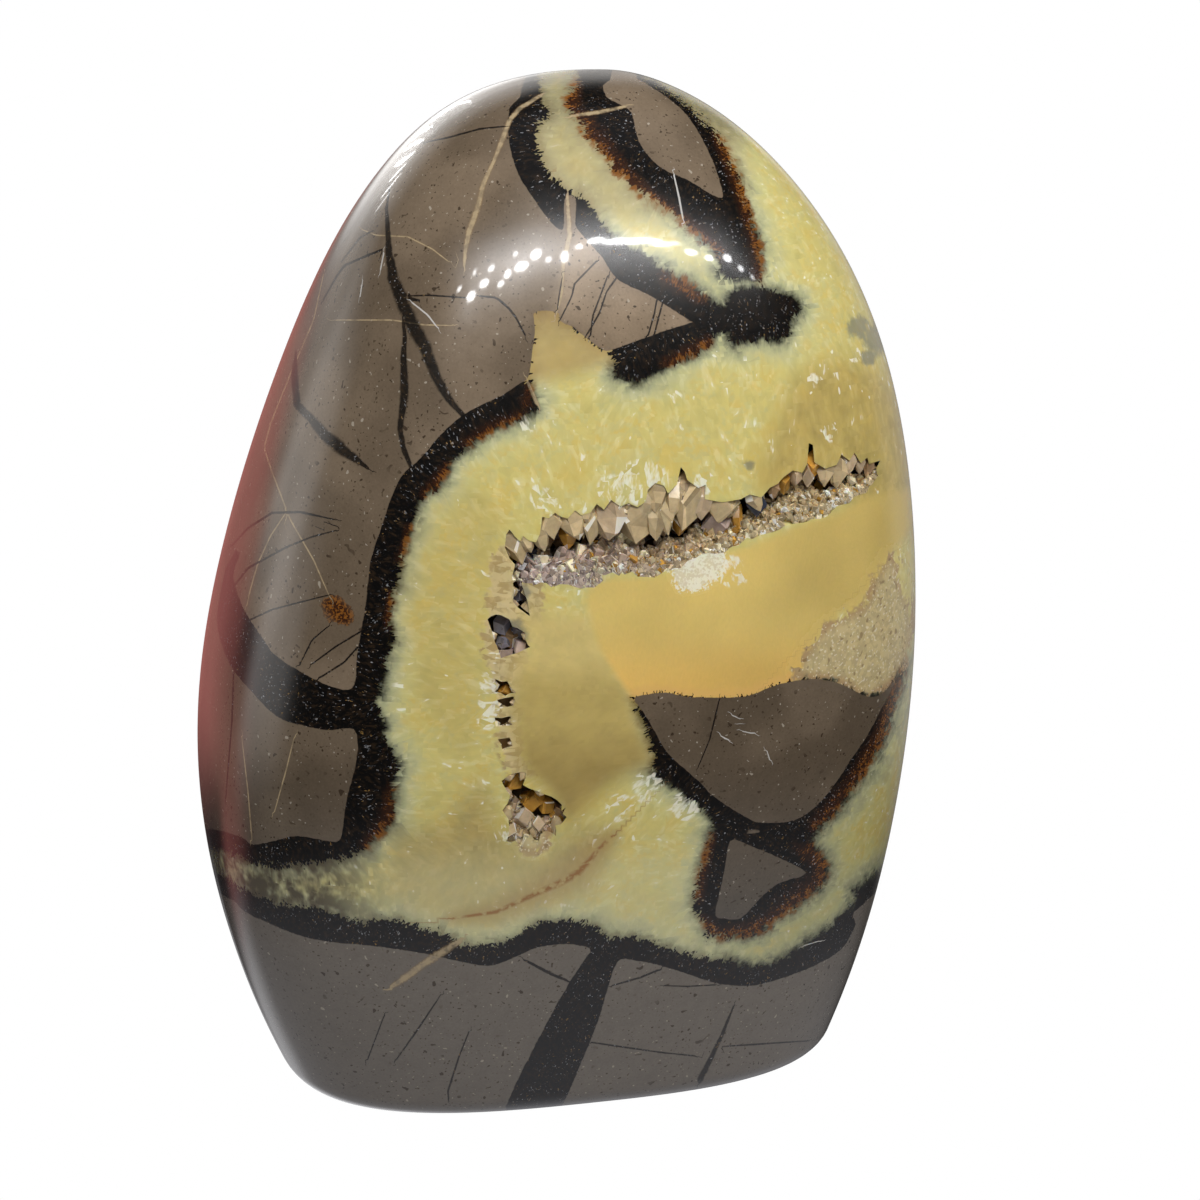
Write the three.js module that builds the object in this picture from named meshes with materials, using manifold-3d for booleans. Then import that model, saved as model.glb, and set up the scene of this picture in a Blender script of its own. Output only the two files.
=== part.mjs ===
// A septarian nodule, ground to a free-standing egg, polished all over and cut flat underneath.
// Millimetres, +Z up. The origin is the centre of the bounding box at the level of the flat base.
// The stone's polished face looks along -Y and its width runs along X. It is one natural piece.
import * as THREE from 'three';
import { NURBSCurve } from 'three/addons/curves/NURBSCurve.js';
import { mergeVertices } from 'three/addons/utils/BufferGeometryUtils.js';
import Module from 'manifold-3d';

// Driving dimensions of the polished stone. The four outlines are cubic B-splines that share their
// control heights. Each reach is measured from the upright axis, out to its own side.
const HEIGHT = 127;
const CONTROL_HEIGHTS = [0, 14, 38, 66, 94, 116, HEIGHT, HEIGHT];
const PEAK_RIGHT = 4.5;
const PEAK_BACK = 2;
const REACH = {
  right: [36.5, 41, 44.5, 44.5, 40, 28, 12.5, PEAK_RIGHT],
  left: [33.5, 40.5, 46.5, 42.5, 33.5, 23.5, 10.5, -PEAK_RIGHT],
  back: [19, 24, 30, 31, 27.5, 20, 10, PEAK_BACK],
  front: [19, 24, 30, 31, 27.5, 20, 10, -PEAK_BACK],
};
const SQUARENESS = 2.8;        // superellipse exponent of each level section
const BASE_EDGE_RADIUS = 4;

// Fineness of the faceted solid.
const SEGMENTS = 80;
const BASE_EDGE_RINGS = 5;
const SIDE_RINGS = 38;

// The open crevices of the vug. Their outlines lie on a plane through the stone's middle, at right
// angles to a line of sight, and their walls run along the sight lines from one point.
const SIGHT_TURN = -16;        // degrees to the left of straight ahead
const SIGHT_RISE = 18;         // degrees above level
const SIGHT_TILT = 2;          // degrees the plane's upright leans
const SIGHT_DISTANCE = 330;
const SIGHT_TARGET = new THREE.Vector3(5.2, -1.2, 62);
const CREVICE_DEPTH = 8;
const CREVICE_CLEARANCE = 5;   // how far the cutters start in front of the face
const CREVICES = [
  // the long crevice below the middle of the vein, with the slot and the hole at its left end
  [
    [-12.4, 7.6], [-11.6, 10], [-7.1, 10.4], [-3.6, 9], [1.8, 11.6], [6.3, 13.8], [10.3, 15.6],
    [13, 13], [19.6, 12], [21.9, 14.5], [25.8, 17.6], [32.4, 17.4], [33.6, 15.2], [30.8, 13.3],
    [24.1, 11], [19.6, 8.6], [13, 7.2], [6.3, 5.4], [-0.5, 5.2], [-9, 3.6], [-9, -1.6], [-9.6, -6],
    [-12.4, -6.8], [-14, -2.4], [-11.2, -0.6], [-11, 3],
  ],
  // the small pocket near the foot of the vein
  [[-12, -22], [-9.4, -21.6], [-7.1, -24.3], [-4.8, -25.6], [-5.4, -27.2], [-10.4, -26.6]],
];

// A clamped, evenly spaced cubic B-spline from its heights and reaches.
function outlineCurve(reaches) {
  const degree = 3;
  const spans = reaches.length - degree;
  const inner = Array.from({ length: spans - 1 }, (_, i) => (i + 1) / spans);
  const knots = [0, 0, 0, 0, ...inner, 1, 1, 1, 1];
  const points = reaches.map((reach, i) => new THREE.Vector4(reach, CONTROL_HEIGHTS[i], 0, 1));
  return new NURBSCurve(degree, knots, points);
}

const outlines = {
  right: outlineCurve(REACH.right),
  left: outlineCurve(REACH.left),
  back: outlineCurve(REACH.back),
  front: outlineCurve(REACH.front),
};

// How far the rounded base edge draws a side in at a height.
function edgeInset(height) {
  const drop = Math.max(BASE_EDGE_RADIUS - height, 0);
  return BASE_EDGE_RADIUS - Math.sqrt(BASE_EDGE_RADIUS ** 2 - drop ** 2);
}

// The level section at one place along the outlines: its height, centre and half sizes.
function levelSection(along) {
  const height = outlines.right.getPoint(along).y;
  const inset = edgeInset(height);
  const side = (name) => outlines[name].getPoint(along).x - inset;
  return {
    height,
    centreX: (side('right') - side('left')) / 2,
    centreY: (side('back') - side('front')) / 2,
    halfWidth: (side('right') + side('left')) / 2,
    halfDepth: (side('back') + side('front')) / 2,
  };
}

// One ring of points on a superellipse, at even steps of its turn around the centre.
function sectionRing(section) {
  const ring = [];
  for (let i = 0; i < SEGMENTS; i += 1) {
    const turn = (2 * Math.PI * i) / SEGMENTS;
    const across = Math.abs(Math.cos(turn) / section.halfWidth) ** SQUARENESS;
    const deep = Math.abs(Math.sin(turn) / section.halfDepth) ** SQUARENESS;
    const radius = (across + deep) ** (-1 / SQUARENESS);
    const x = section.centreX + radius * Math.cos(turn);
    const y = section.centreY + radius * Math.sin(turn);
    ring.push(x, y, section.height);
  }
  return ring;
}

// Places of the rings along the outlines: close together round the base edge, then even.
function ringPlaces() {
  const edgeEnd = 0.024;       // just above the rounded edge
  const places = [];
  for (let i = 0; i < BASE_EDGE_RINGS; i += 1) {
    places.push(edgeEnd * (i / BASE_EDGE_RINGS) ** 1.8);
  }
  for (let i = 0; i < SIDE_RINGS; i += 1) {
    places.push(edgeEnd + (1 - edgeEnd) * (i / SIDE_RINGS));
  }
  return places;
}

// The whole polished outside: rings of quads, a flat fan underneath and a fan at the peak.
function polishedStone() {
  const sections = ringPlaces().map(levelSection);
  const positions = sections.flatMap(sectionRing);
  const indices = [];
  for (let row = 0; row < sections.length - 1; row += 1) {
    for (let i = 0; i < SEGMENTS; i += 1) {
      const next = (i + 1) % SEGMENTS;
      const [a, b] = [row * SEGMENTS + i, row * SEGMENTS + next];
      const [c, d] = [a + SEGMENTS, b + SEGMENTS];
      indices.push(a, b, d, a, d, c);
    }
  }
  const base = sections[0];
  const underside = positions.length / 3;
  positions.push(base.centreX, base.centreY, base.height);
  positions.push(PEAK_RIGHT, PEAK_BACK, HEIGHT);
  const peak = underside + 1;
  const lastRow = (sections.length - 1) * SEGMENTS;
  for (let i = 0; i < SEGMENTS; i += 1) {
    const next = (i + 1) % SEGMENTS;
    indices.push(underside, next, i);
    indices.push(lastRow + i, lastRow + next, peak);
  }
  const geometry = new THREE.BufferGeometry();
  geometry.setAttribute('position', new THREE.Float32BufferAttribute(positions, 3));
  geometry.setIndex(indices);
  return geometry;
}

// The sight lines: where they start, and the way each one runs through a point of the plan.
const toEye = new THREE.Vector3(0, -1, 0)
  .applyAxisAngle(new THREE.Vector3(1, 0, 0), THREE.MathUtils.degToRad(-SIGHT_RISE))
  .applyAxisAngle(new THREE.Vector3(0, 0, 1), THREE.MathUtils.degToRad(SIGHT_TURN));
const level = new THREE.Vector3(0, 0, 1).cross(toEye).normalize();
const planAcross = level.clone().applyAxisAngle(toEye, THREE.MathUtils.degToRad(SIGHT_TILT));
const planUp = toEye.clone().cross(planAcross);
const eye = SIGHT_TARGET.clone().addScaledVector(toEye, SIGHT_DISTANCE);

function sightLine(across, up) {
  const target = SIGHT_TARGET.clone()
    .addScaledVector(planAcross, across)
    .addScaledVector(planUp, up);
  return target.sub(eye).normalize();
}

// A closed cutter for one crevice: an extruded outline, whose near end is then laid just in front
// of the polished face and whose far end is laid CREVICE_DEPTH below it.
function creviceCutter(outline, stoneMesh) {
  const shape = new THREE.Shape(outline.map(([across, up]) => new THREE.Vector2(across, up)));
  const cutter = new THREE.ExtrudeGeometry(shape, { depth: 1, bevelEnabled: false });
  const place = cutter.getAttribute('position');
  const caster = new THREE.Raycaster();
  for (let i = 0; i < place.count; i += 1) {
    const line = sightLine(place.getX(i), place.getY(i));
    caster.set(eye, line);
    const face = caster.intersectObject(stoneMesh)[0].distance;
    const isNearEnd = place.getZ(i) > 0.5;
    const reach = isNearEnd ? face - CREVICE_CLEARANCE : face + CREVICE_DEPTH;
    const point = eye.clone().addScaledVector(line, reach);
    place.setXYZ(i, point.x, point.y, point.z);
  }
  return cutter;
}

const wasm = await Module();
wasm.setup();

function toManifold(geometry) {
  geometry.deleteAttribute('normal');
  geometry.deleteAttribute('uv');
  const merged = mergeVertices(geometry);
  return new wasm.Manifold(new wasm.Mesh({
    numProp: 3,
    vertProperties: merged.getAttribute('position').array,
    triVerts: merged.getIndex().array,
  }));
}

function toGeometry(manifold) {
  const mesh = manifold.getMesh();
  const geometry = new THREE.BufferGeometry();
  geometry.setAttribute('position', new THREE.BufferAttribute(mesh.vertProperties, 3));
  geometry.setIndex(new THREE.BufferAttribute(mesh.triVerts, 1));
  return geometry;
}

// The stone with its crevices cut, moved so that its bounding box is centred over the origin.
function noduleGeometry() {
  const outside = polishedStone();
  outside.computeBoundingBox();
  const middle = outside.boundingBox.getCenter(new THREE.Vector3());
  outside.translate(-middle.x, -middle.y, 0);
  const stoneMesh = new THREE.Mesh(outside);
  const cutters = CREVICES.map((outline) => toManifold(creviceCutter(outline, stoneMesh)));
  const cut = cutters.reduce((stone, cutter) => stone.subtract(cutter), toManifold(outside));
  return toGeometry(cut);
}

const polishedLimestone = new THREE.MeshStandardMaterial({
  color: 0x8a7d5f,
  roughness: 0.15,
  metalness: 0,
});

const nodule = new THREE.Mesh(noduleGeometry(), polishedLimestone);
nodule.name = 'nodule';

const stone = new THREE.Group();
stone.add(nodule);

export default stone;
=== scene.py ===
"""A polished septarian nodule: a free-standing egg of veined limestone with an open, crystal-lined vug."""
import math

import bpy
import numpy as np
from mathutils import Matrix, Vector
from mathutils.bvhtree import BVHTree


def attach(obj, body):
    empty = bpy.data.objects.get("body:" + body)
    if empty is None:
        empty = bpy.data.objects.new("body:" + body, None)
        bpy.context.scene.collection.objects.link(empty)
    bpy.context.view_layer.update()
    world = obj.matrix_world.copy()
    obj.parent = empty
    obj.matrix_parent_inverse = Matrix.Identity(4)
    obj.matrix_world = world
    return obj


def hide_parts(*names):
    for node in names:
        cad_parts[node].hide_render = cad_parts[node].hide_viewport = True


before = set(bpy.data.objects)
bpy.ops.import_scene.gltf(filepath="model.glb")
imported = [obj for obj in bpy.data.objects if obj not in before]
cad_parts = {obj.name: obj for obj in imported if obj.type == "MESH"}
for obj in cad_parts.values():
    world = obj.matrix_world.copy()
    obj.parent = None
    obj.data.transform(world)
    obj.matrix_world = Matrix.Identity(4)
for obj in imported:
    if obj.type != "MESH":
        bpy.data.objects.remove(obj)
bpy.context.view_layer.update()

# ----------------------------------------------------------------------------------------------
# The stone: one nodule of limestone, ground to an egg that is flatter from front to back, polished
# all over and cut flat underneath with a softly rounded edge. It is a ball whose rings are laid on
# level superellipse sections between four cubic B-spline outlines. Sizes are in millimetres.
# ----------------------------------------------------------------------------------------------
MM = 0.001
HEIGHT = 127.0
PEAK_RIGHT = 4.5
PEAK_BACK = 2.0
CONTROL_HEIGHTS = [0, 14, 38, 66, 94, 116, HEIGHT, HEIGHT]
REACH_RIGHT = [36.5, 41, 44.5, 44.5, 40, 28, 12.5, PEAK_RIGHT]
REACH_LEFT = [33.5, 40.5, 46.5, 42.5, 33.5, 23.5, 10.5, -PEAK_RIGHT]
REACH_BACK = [19, 24, 30, 31, 27.5, 20, 10, PEAK_BACK]
REACH_FRONT = [19, 24, 30, 31, 27.5, 20, 10, -PEAK_BACK]
SQUARENESS = 2.8
BASE_EDGE_RADIUS = 4.0
STONE_SEGMENTS = 352
STONE_RINGS = 256
BASE_RINGS = 7                 # rings that lie on the flat base
FRONT_FINENESS = 0.32          # how much closer the columns stand on the show face than behind
SMOOTH_STEPS = 4001
MIDDLE_HALF_WIDTH = 43.0
MIDDLE_HALF_DEPTH = 30.0


def spline(control, along):
    """A clamped, evenly spaced cubic B-spline at places between 0 and 1."""
    degree = 3
    spans = len(control) - degree
    knots = np.concatenate([[0.0] * degree, np.linspace(0, 1, spans + 1), [1.0] * degree])
    along = np.clip(along, 0, 1 - 1e-9)
    basis = [((along >= knots[i]) & (along < knots[i + 1])).astype(float) for i in range(len(knots) - 1)]
    for order in range(1, degree + 1):
        raised = []
        for i in range(len(basis) - 1):
            left = knots[i + order] - knots[i]
            right = knots[i + order + 1] - knots[i + 1]
            term = np.zeros_like(along)
            if left > 0:
                term = term + (along - knots[i]) / left * basis[i]
            if right > 0:
                term = term + (knots[i + order + 1] - along) / right * basis[i + 1]
            raised.append(term)
        basis = raised
    return sum(value * part for value, part in zip(control, basis))


def level_section(along):
    """Height, centre and half sizes of the level sections at places along the outlines."""
    height = spline(CONTROL_HEIGHTS, along)
    drop = np.maximum(BASE_EDGE_RADIUS - height, 0)
    inset = BASE_EDGE_RADIUS - np.sqrt(BASE_EDGE_RADIUS ** 2 - drop ** 2)
    right, left = spline(REACH_RIGHT, along) - inset, spline(REACH_LEFT, along) - inset
    back, front = spline(REACH_BACK, along) - inset, spline(REACH_FRONT, along) - inset
    return height, (right - left) / 2, (back - front) / 2, (right + left) / 2, (back + front) / 2


def section_radius(turn, half_width, half_depth):
    """How far a superellipse reaches from its centre at a turn around it."""
    wide = np.abs(np.cos(turn) / half_width) ** SQUARENESS
    deep = np.abs(np.sin(turn) / half_depth) ** SQUARENESS
    return (wide + deep) ** (-1 / SQUARENESS)


def even_places(places, steps, density, count):
    """The places that stand at even steps along a path, closer where the density is higher."""
    walked = np.concatenate([[0], np.cumsum(steps * (density[1:] + density[:-1]) / 2)])
    return np.interp(np.linspace(0, walked[-1], count), walked, places)


def deselect_all():
    bpy.ops.object.select_all(action="DESELECT")


def numbers_of(collection, kind, wide=1):
    """A property of every vertex, corner or face of a mesh as an array, so many numbers wide."""
    numbers = np.empty(len(collection) * wide, dtype=float if wide > 1 else int)
    collection.foreach_get(kind, numbers)
    return numbers.reshape(-1, wide) if wide > 1 else numbers


def vertex_places(mesh_object):
    return numbers_of(mesh_object.data.vertices, "co", 3)


def put_vertices(mesh_object, places):
    mesh_object.data.vertices.foreach_set("co", np.ascontiguousarray(places, dtype=np.float32).ravel())
    mesh_object.data.update()


deselect_all()
bpy.ops.mesh.primitive_uv_sphere_add(segments=STONE_SEGMENTS, ring_count=STONE_RINGS, radius=1)
stone = bpy.context.object
stone.name = "veined_nodule"
ball = vertex_places(stone)
ring = np.rint(np.arccos(np.clip(ball[:, 2], -1, 1)) * STONE_RINGS / math.pi).astype(int)
column = np.rint(np.arctan2(ball[:, 1], ball[:, 0]) * STONE_SEGMENTS / (2 * math.pi)).astype(int)
column %= STONE_SEGMENTS

fine = np.linspace(0, 1, SMOOTH_STEPS)
heights, _, _, half_widths, half_depths = level_section(fine)
steps = np.sqrt(np.diff(heights) ** 2 + np.diff(half_widths) ** 2 / 2 + np.diff(half_depths) ** 2 / 2)
side_places = even_places(fine, steps, np.ones_like(fine), STONE_RINGS - BASE_RINGS + 1)[::-1]
ring_along = np.concatenate([side_places, np.zeros(BASE_RINGS)])
ring_spread = np.concatenate([np.ones(len(side_places)), np.linspace(1, 0, BASE_RINGS + 1)[1:]])
ring_spread[0] = 0

turns = np.linspace(0, 2 * math.pi, SMOOTH_STEPS)
reach = section_radius(turns, MIDDLE_HALF_WIDTH, MIDDLE_HALF_DEPTH)
outline = np.stack([reach * np.cos(turns), reach * np.sin(turns)], axis=1)
outline_steps = np.hypot(*np.diff(outline, axis=0).T)
fineness = 1 - FRONT_FINENESS * np.sin(turns)
column_turns = even_places(turns, outline_steps, fineness, STONE_SEGMENTS + 1)[:-1]

height, centre_x, centre_y, half_width, half_depth = level_section(ring_along[ring])
turn = column_turns[column]
radius = section_radius(turn, half_width, half_depth) * ring_spread[ring]
shaped = np.stack([centre_x + radius * np.cos(turn), centre_y + radius * np.sin(turn), height], axis=1)
peak = ring == 0
shaped[peak] = (PEAK_RIGHT, PEAK_BACK, HEIGHT)
middle = (shaped.min(axis=0) + shaped.max(axis=0)) / 2
shaped[:, :2] -= middle[:2]
put_vertices(stone, shaped * MM)

# ----------------------------------------------------------------------------------------------
# The face plan: a flat drawing board through the middle of the stone, square to the line of sight
# on its show face. The vein pattern and the crevices are drawn on it in millimetres from its
# centre, and carried on to the stone along the sight lines.
# ----------------------------------------------------------------------------------------------
SIGHT_TURN = math.radians(-16)
SIGHT_RISE = math.radians(18)
SIGHT_TILT = math.radians(2)
SIGHT_DISTANCE = 330.0
SIGHT_TARGET = np.array([5.2, -1.2, 62.0])

to_eye = np.array([
    math.sin(SIGHT_TURN) * math.cos(SIGHT_RISE),
    -math.cos(SIGHT_TURN) * math.cos(SIGHT_RISE),
    math.sin(SIGHT_RISE),
])
level_across = np.array([math.cos(SIGHT_TURN), math.sin(SIGHT_TURN), 0])
plan_across = level_across * math.cos(SIGHT_TILT) + np.cross(to_eye, level_across) * math.sin(SIGHT_TILT)
plan_up = np.cross(to_eye, plan_across)
eye = SIGHT_TARGET + to_eye * SIGHT_DISTANCE


def on_plan(points):
    """Where points of the stone fall on the face plan: across and up."""
    offset = points - SIGHT_TARGET
    scale = SIGHT_DISTANCE / (SIGHT_DISTANCE - offset @ to_eye)
    return np.stack([offset @ plan_across * scale, offset @ plan_up * scale], axis=1)


def sight_line(across, up):
    """The unit direction from the eye through a point of the face plan."""
    line = SIGHT_TARGET + across * plan_across + up * plan_up - eye
    return line / np.linalg.norm(line)


polygons = [tuple(face.vertices) for face in stone.data.polygons]
outside = BVHTree.FromPolygons([Vector(point) for point in shaped], polygons)


def face_distance(across, up):
    """How far the polished face is from the eye along a sight line."""
    hit = outside.ray_cast(Vector(eye), Vector(sight_line(across, up)))
    return hit[3]


# ----------------------------------------------------------------------------------------------
# The crevices of the vug: broken openings in the middle of the calcite vein, deeper than the finger
# can feel, with a jagged upper lip and a shelving lower side. Each is cut by a closed plug that runs
# along the sight lines, from in front of the face down to its floor.
# ----------------------------------------------------------------------------------------------
PLUG_CLEARANCE = 3.0
DEEP_GAP = 8.0
LONG_GAP = [
    (-11.9, 6.6), (-11.7, 8.2), (-11.3, 8.8), (-10.6, 7.9), (-10.0, 7.3), (-9.6, 8.0), (-8.9, 7.4),
    (-8.0, 7.2), (-7.5, 8.3), (-7.2, 10.4), (-6.4, 10.2), (-5.6, 10.9), (-4.9, 10.4), (-4.0, 10.2),
    (-3.1, 11.2), (-2.4, 10.6), (-1.2, 10.9), (-0.4, 12.0), (0.5, 11.3), (1.4, 12.5), (2.5, 11.7),
    (3.6, 12.1), (4.7, 11.6), (5.7, 12.3), (6.0, 13.8), (6.9, 14.6), (8.0, 14.3), (8.5, 13.3),
    (9.6, 14.4), (10.1, 16.6), (10.6, 16.0), (10.9, 15.0), (12.3, 14.0), (13.2, 14.4), (13.1, 12.6),
    (15.3, 12.2), (17.6, 12.6), (18.7, 13.2), (20.2, 12.8), (21.2, 14.0), (22.2, 14.5), (23.0, 15.4),
    (24.1, 16.2), (25.3, 15.9), (25.9, 17.0), (26.1, 19.6), (26.6, 19.4), (26.8, 17.2), (28.2, 16.4),
    (29.6, 16.9), (30.2, 18.2), (31.2, 17.4), (31.8, 18.4), (32.6, 17.1), (33.4, 17.8), (33.9, 16.2),
    (33.2, 15.0), (31.5, 14.6), (29.4, 13.2), (26.6, 13.0), (24.0, 14.0), (22.0, 12.2), (20.0, 10.7),
    (18.0, 9.8), (15.5, 9.4), (13.0, 8.5), (10.0, 7.4), (8.0, 6.8), (5.0, 6.6), (3.0, 7.2), (1.0, 7.0),
    (-1.0, 6.2), (-3.0, 5.5), (-4.5, 4.5), (-6.5, 4.1), (-8.2, 4.4), (-9.3, 3.4), (-9.8, 2.0),
    (-9.0, -0.4), (-8.8, -2.0), (-10.2, -1.0), (-10.9, -0.2), (-10.7, 1.0), (-11.0, 2.9), (-10.6, 4.4),
    (-11.3, 5.2),
]
SMALL_HOLES = [
    [(-14.0, -2.4), (-13.0, -1.7), (-11.4, -2.4), (-10.9, -3.2), (-9.4, -4.0), (-9.2, -5.2),
     (-8.8, -5.9), (-10.4, -6.5), (-12.3, -7.3), (-13.2, -5.2)],
    [(-13.2, -9.9), (-11.6, -10.3), (-10.6, -11.6), (-12.0, -11.9), (-13.0, -11.4)],
    [(-12.8, -12.4), (-10.8, -12.2), (-10.7, -13.2), (-12.6, -13.3)],
    [(-13.2, -14.7), (-11.2, -14.6), (-11.0, -15.6), (-12.9, -15.8)],
    [(-12.7, -17.4), (-11.3, -17.2), (-11.0, -18.3), (-12.3, -18.6)],
    [(-12.2, -22.5), (-11.0, -21.7), (-9.2, -21.5), (-9.6, -23.2), (-7.8, -24.0), (-6.0, -24.5),
     (-4.8, -25.6), (-4.9, -27.0), (-6.6, -27.6), (-8.9, -27.4), (-10.4, -25.6), (-11.6, -24.0)],
]
HOLE_DEPTHS = [5.6, 2.6, 2.4, 2.2, 1.6, 4.4]
SHELF = [
    (-9.9, 4.6), (-6.5, 4.6), (-3.0, 6.0), (1.0, 7.5), (5.0, 7.1), (8.0, 7.3), (13.0, 9.0), (18.0, 10.3),
    (22.0, 12.7), (24.0, 14.6), (28.0, 14.6), (31.0, 15.5), (34.8, 17.2), (35.0, 15.3), (33.0, 13.3),
    (30.0, 12.0), (28.4, 10.7), (25.5, 9.8), (22.5, 8.9), (19.0, 7.9), (17.0, 6.6), (14.5, 5.9),
    (12.0, 5.6), (9.0, 3.7), (6.5, 3.0), (4.0, 3.2), (2.0, 3.3), (0.5, 2.9), (-0.8, 1.3), (-3.0, 1.7),
    (-6.0, 1.8), (-8.0, 1.9), (-9.9, 2.0),
]
SHELF_FOOT = ([-10, 0, 9, 19, 30, 35], [1.9, 2.4, 3.9, 8.0, 12.0, 15.4])
SHELF_TOP = ([-10, 1, 8, 20, 24, 31, 35], [4.3, 7.2, 7.0, 11.2, 14.2, 15.4, 17.0])
SHELF_TOP_DEPTH = 3.6
SHELF_FOOT_DEPTH = 0.35
POCKET_SHELF = [
    (-11.4, -24.2), (-10.2, -25.3), (-8.7, -27.0), (-6.4, -27.2), (-4.6, -26.2), (-4.3, -27.4), (-5.6, -28.2),
    (-5.4, -29.3), (-7.0, -28.9), (-7.6, -30.2), (-8.8, -29.4), (-9.7, -31.0), (-10.6, -29.9),
    (-11.9, -30.2), (-11.3, -28.0), (-12.2, -26.6),
]
POCKET_FLOOR = ([-31.5, -25.0], [0.3, 3.0])


def crevice_plug(name, plan_outline, floor_depth):
    """A closed plug on a plan outline. Its floor lies a depth below the face, by place on the plan."""
    deselect_all()
    bpy.ops.mesh.primitive_circle_add(vertices=len(plan_outline), radius=1, fill_type="NGON")
    plug = bpy.context.object
    plug.name = name
    near, far = [], []
    for across, up in plan_outline:
        line = sight_line(across, up)
        face = face_distance(across, up)
        near.append(eye + line * (face - PLUG_CLEARANCE))
        far.append(eye + line * (face + floor_depth(across, up)))
    put_vertices(plug, np.array(far) * MM)
    bpy.ops.object.mode_set(mode="EDIT")
    bpy.ops.mesh.select_all(action="SELECT")
    bpy.ops.mesh.extrude_region_move(TRANSFORM_OT_translate={"value": (0, 0, MM)})
    bpy.ops.object.mode_set(mode="OBJECT")
    places = vertex_places(plug)
    lifted = np.array([vertex.select for vertex in plug.data.vertices])
    order = np.flatnonzero(lifted)
    places[order] = np.array(near) * MM
    put_vertices(plug, places)
    bpy.ops.object.mode_set(mode="EDIT")
    bpy.ops.mesh.select_all(action="SELECT")
    bpy.ops.mesh.quads_convert_to_tris(quad_method="BEAUTY", ngon_method="BEAUTY")
    bpy.ops.mesh.normals_make_consistent(inside=False)
    bpy.ops.object.mode_set(mode="OBJECT")
    return plug


def ragged(outline, parts, amount, seed):
    """An outline with each side cut into parts and its new corners knocked about."""
    outline = np.array(outline, dtype=float)
    shares = np.arange(parts)[None, :, None] / parts
    ends = np.roll(outline, -1, axis=0)
    corners = (outline[:, None] * (1 - shares) + ends[:, None] * shares).reshape(-1, 2)
    knocks = np.random.default_rng(seed).uniform(-amount, amount, corners.shape)
    return [tuple(corner) for corner in corners + knocks]


def shelf_depth(across, up):
    """The shelf is deepest at its top edge, where it meets the gap, and dies out at its foot."""
    foot = np.interp(across, *SHELF_FOOT)
    top = np.interp(across, *SHELF_TOP)
    share = np.clip((up - foot) / (top - foot), 0, 1)
    return SHELF_FOOT_DEPTH + (SHELF_TOP_DEPTH - SHELF_FOOT_DEPTH) * share


def pocket_depth(across, up):
    """The pocket gets shallower down to its foot."""
    return np.interp(up, *POCKET_FLOOR)


plugs = [
    crevice_plug("shelf_plug", ragged(SHELF, parts=3, amount=0.38, seed=3), shelf_depth),
    crevice_plug("pocket_plug", ragged(POCKET_SHELF, parts=2, amount=0.3, seed=4), pocket_depth),
    crevice_plug("long_plug", LONG_GAP, lambda across, up: DEEP_GAP),
]
for number, (hole, depth) in enumerate(zip(SMALL_HOLES, HOLE_DEPTHS)):
    hole = ragged(hole, parts=2, amount=0.14, seed=20 + number)
    plugs.append(crevice_plug(f"hole_plug_{number}", hole, lambda across, up, depth=depth: depth))


def combine(mesh_object, other, operation):
    """Joins another closed mesh to this one, or cuts it away, and puts the other away."""
    deselect_all()
    mesh_object.select_set(True)
    bpy.context.view_layer.objects.active = mesh_object
    step = mesh_object.modifiers.new("combine", "BOOLEAN")
    step.operation = operation
    step.solver = "EXACT"
    step.object = other
    bpy.ops.object.modifier_apply(modifier=step.name)
    bpy.data.objects.remove(other, do_unlink=True)


for plug in plugs[1:]:
    combine(plugs[0], plug, "UNION")
combine(stone, plugs[0], "DIFFERENCE")

# ----------------------------------------------------------------------------------------------
# The vein pattern: limestone cells, the black aragonite that lines the cracks between them, and the
# yellow calcite that fills the middle of the wide cracks. Every border is drawn on the face plan;
# each vertex of the stone then keeps its signed distance to the borders, in millimetres.
# ----------------------------------------------------------------------------------------------
ARC_OUTER = [(-10.2, 80), (-9.6, 64.5), (-11.3, 61.6), (-11.4, 57.5), (-10.3, 53.4), (-8.2, 50), (-6.8, 48),
             (-5, 46.2)]
UPPER_ARM_STONE_SIDE = [(-3, 50.3), (-3.1, 47.5), (-2.7, 46.2), (0.2, 43), (2.2, 40.1), (6, 38.2), (8, 37),
                        (11.4, 34.8)]
LOWER_ARM_TOP = [(11.4, 34.7), (8, 33.6), (4, 32.2), (1.2, 31.2)]
TONGUE = [(0, 31.5), (-2, 33), (-3.5, 34.2), (-5, 34.9), (-5.3, 36), (-8.2, 36), (-8.1, 34), (-8.6, 30),
          (-9, 27.7)]
MAIN_BAND_STONE_SIDE = [
    (-10, 27.1), (-12, 25.7), (-14, 24.8), (-17, 23.2), (-20, 20.6), (-22.3, 17.8), (-24.6, 15.8), (-26, 13),
    (-27.2, 9.5), (-28.7, 4.8), (-29.2, 0), (-29.7, -3), (-30.4, -7), (-30.8, -10.9),
]
CRESCENT_TOP = [(-33.3, -10.9), (-37, -9.2), (-40.5, -7), (-42, -5), (-44.5, -1.2), (-45.9, 3), (-46, 7)]
CRESCENT_FOOT = [(-46.3, 7.2), (-46.8, 4), (-47.6, 0), (-47.8, -3.5), (-46.3, -8), (-43.5, -11.5),
                 (-40.5, -14.5), (-37.5, -15.6), (-34, -16.3), (-31, -16)]
BLOCK_STONE_SIDE = [(-30.3, -17.5), (-30.6, -21), (-31.7, -25), (-32.4, -29.8), (-34, -30.1), (-38, -29.5),
                    (-41, -30.2), (-43.5, -30.6), (-44.5, -29.8), (-49, -28.5)]
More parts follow.
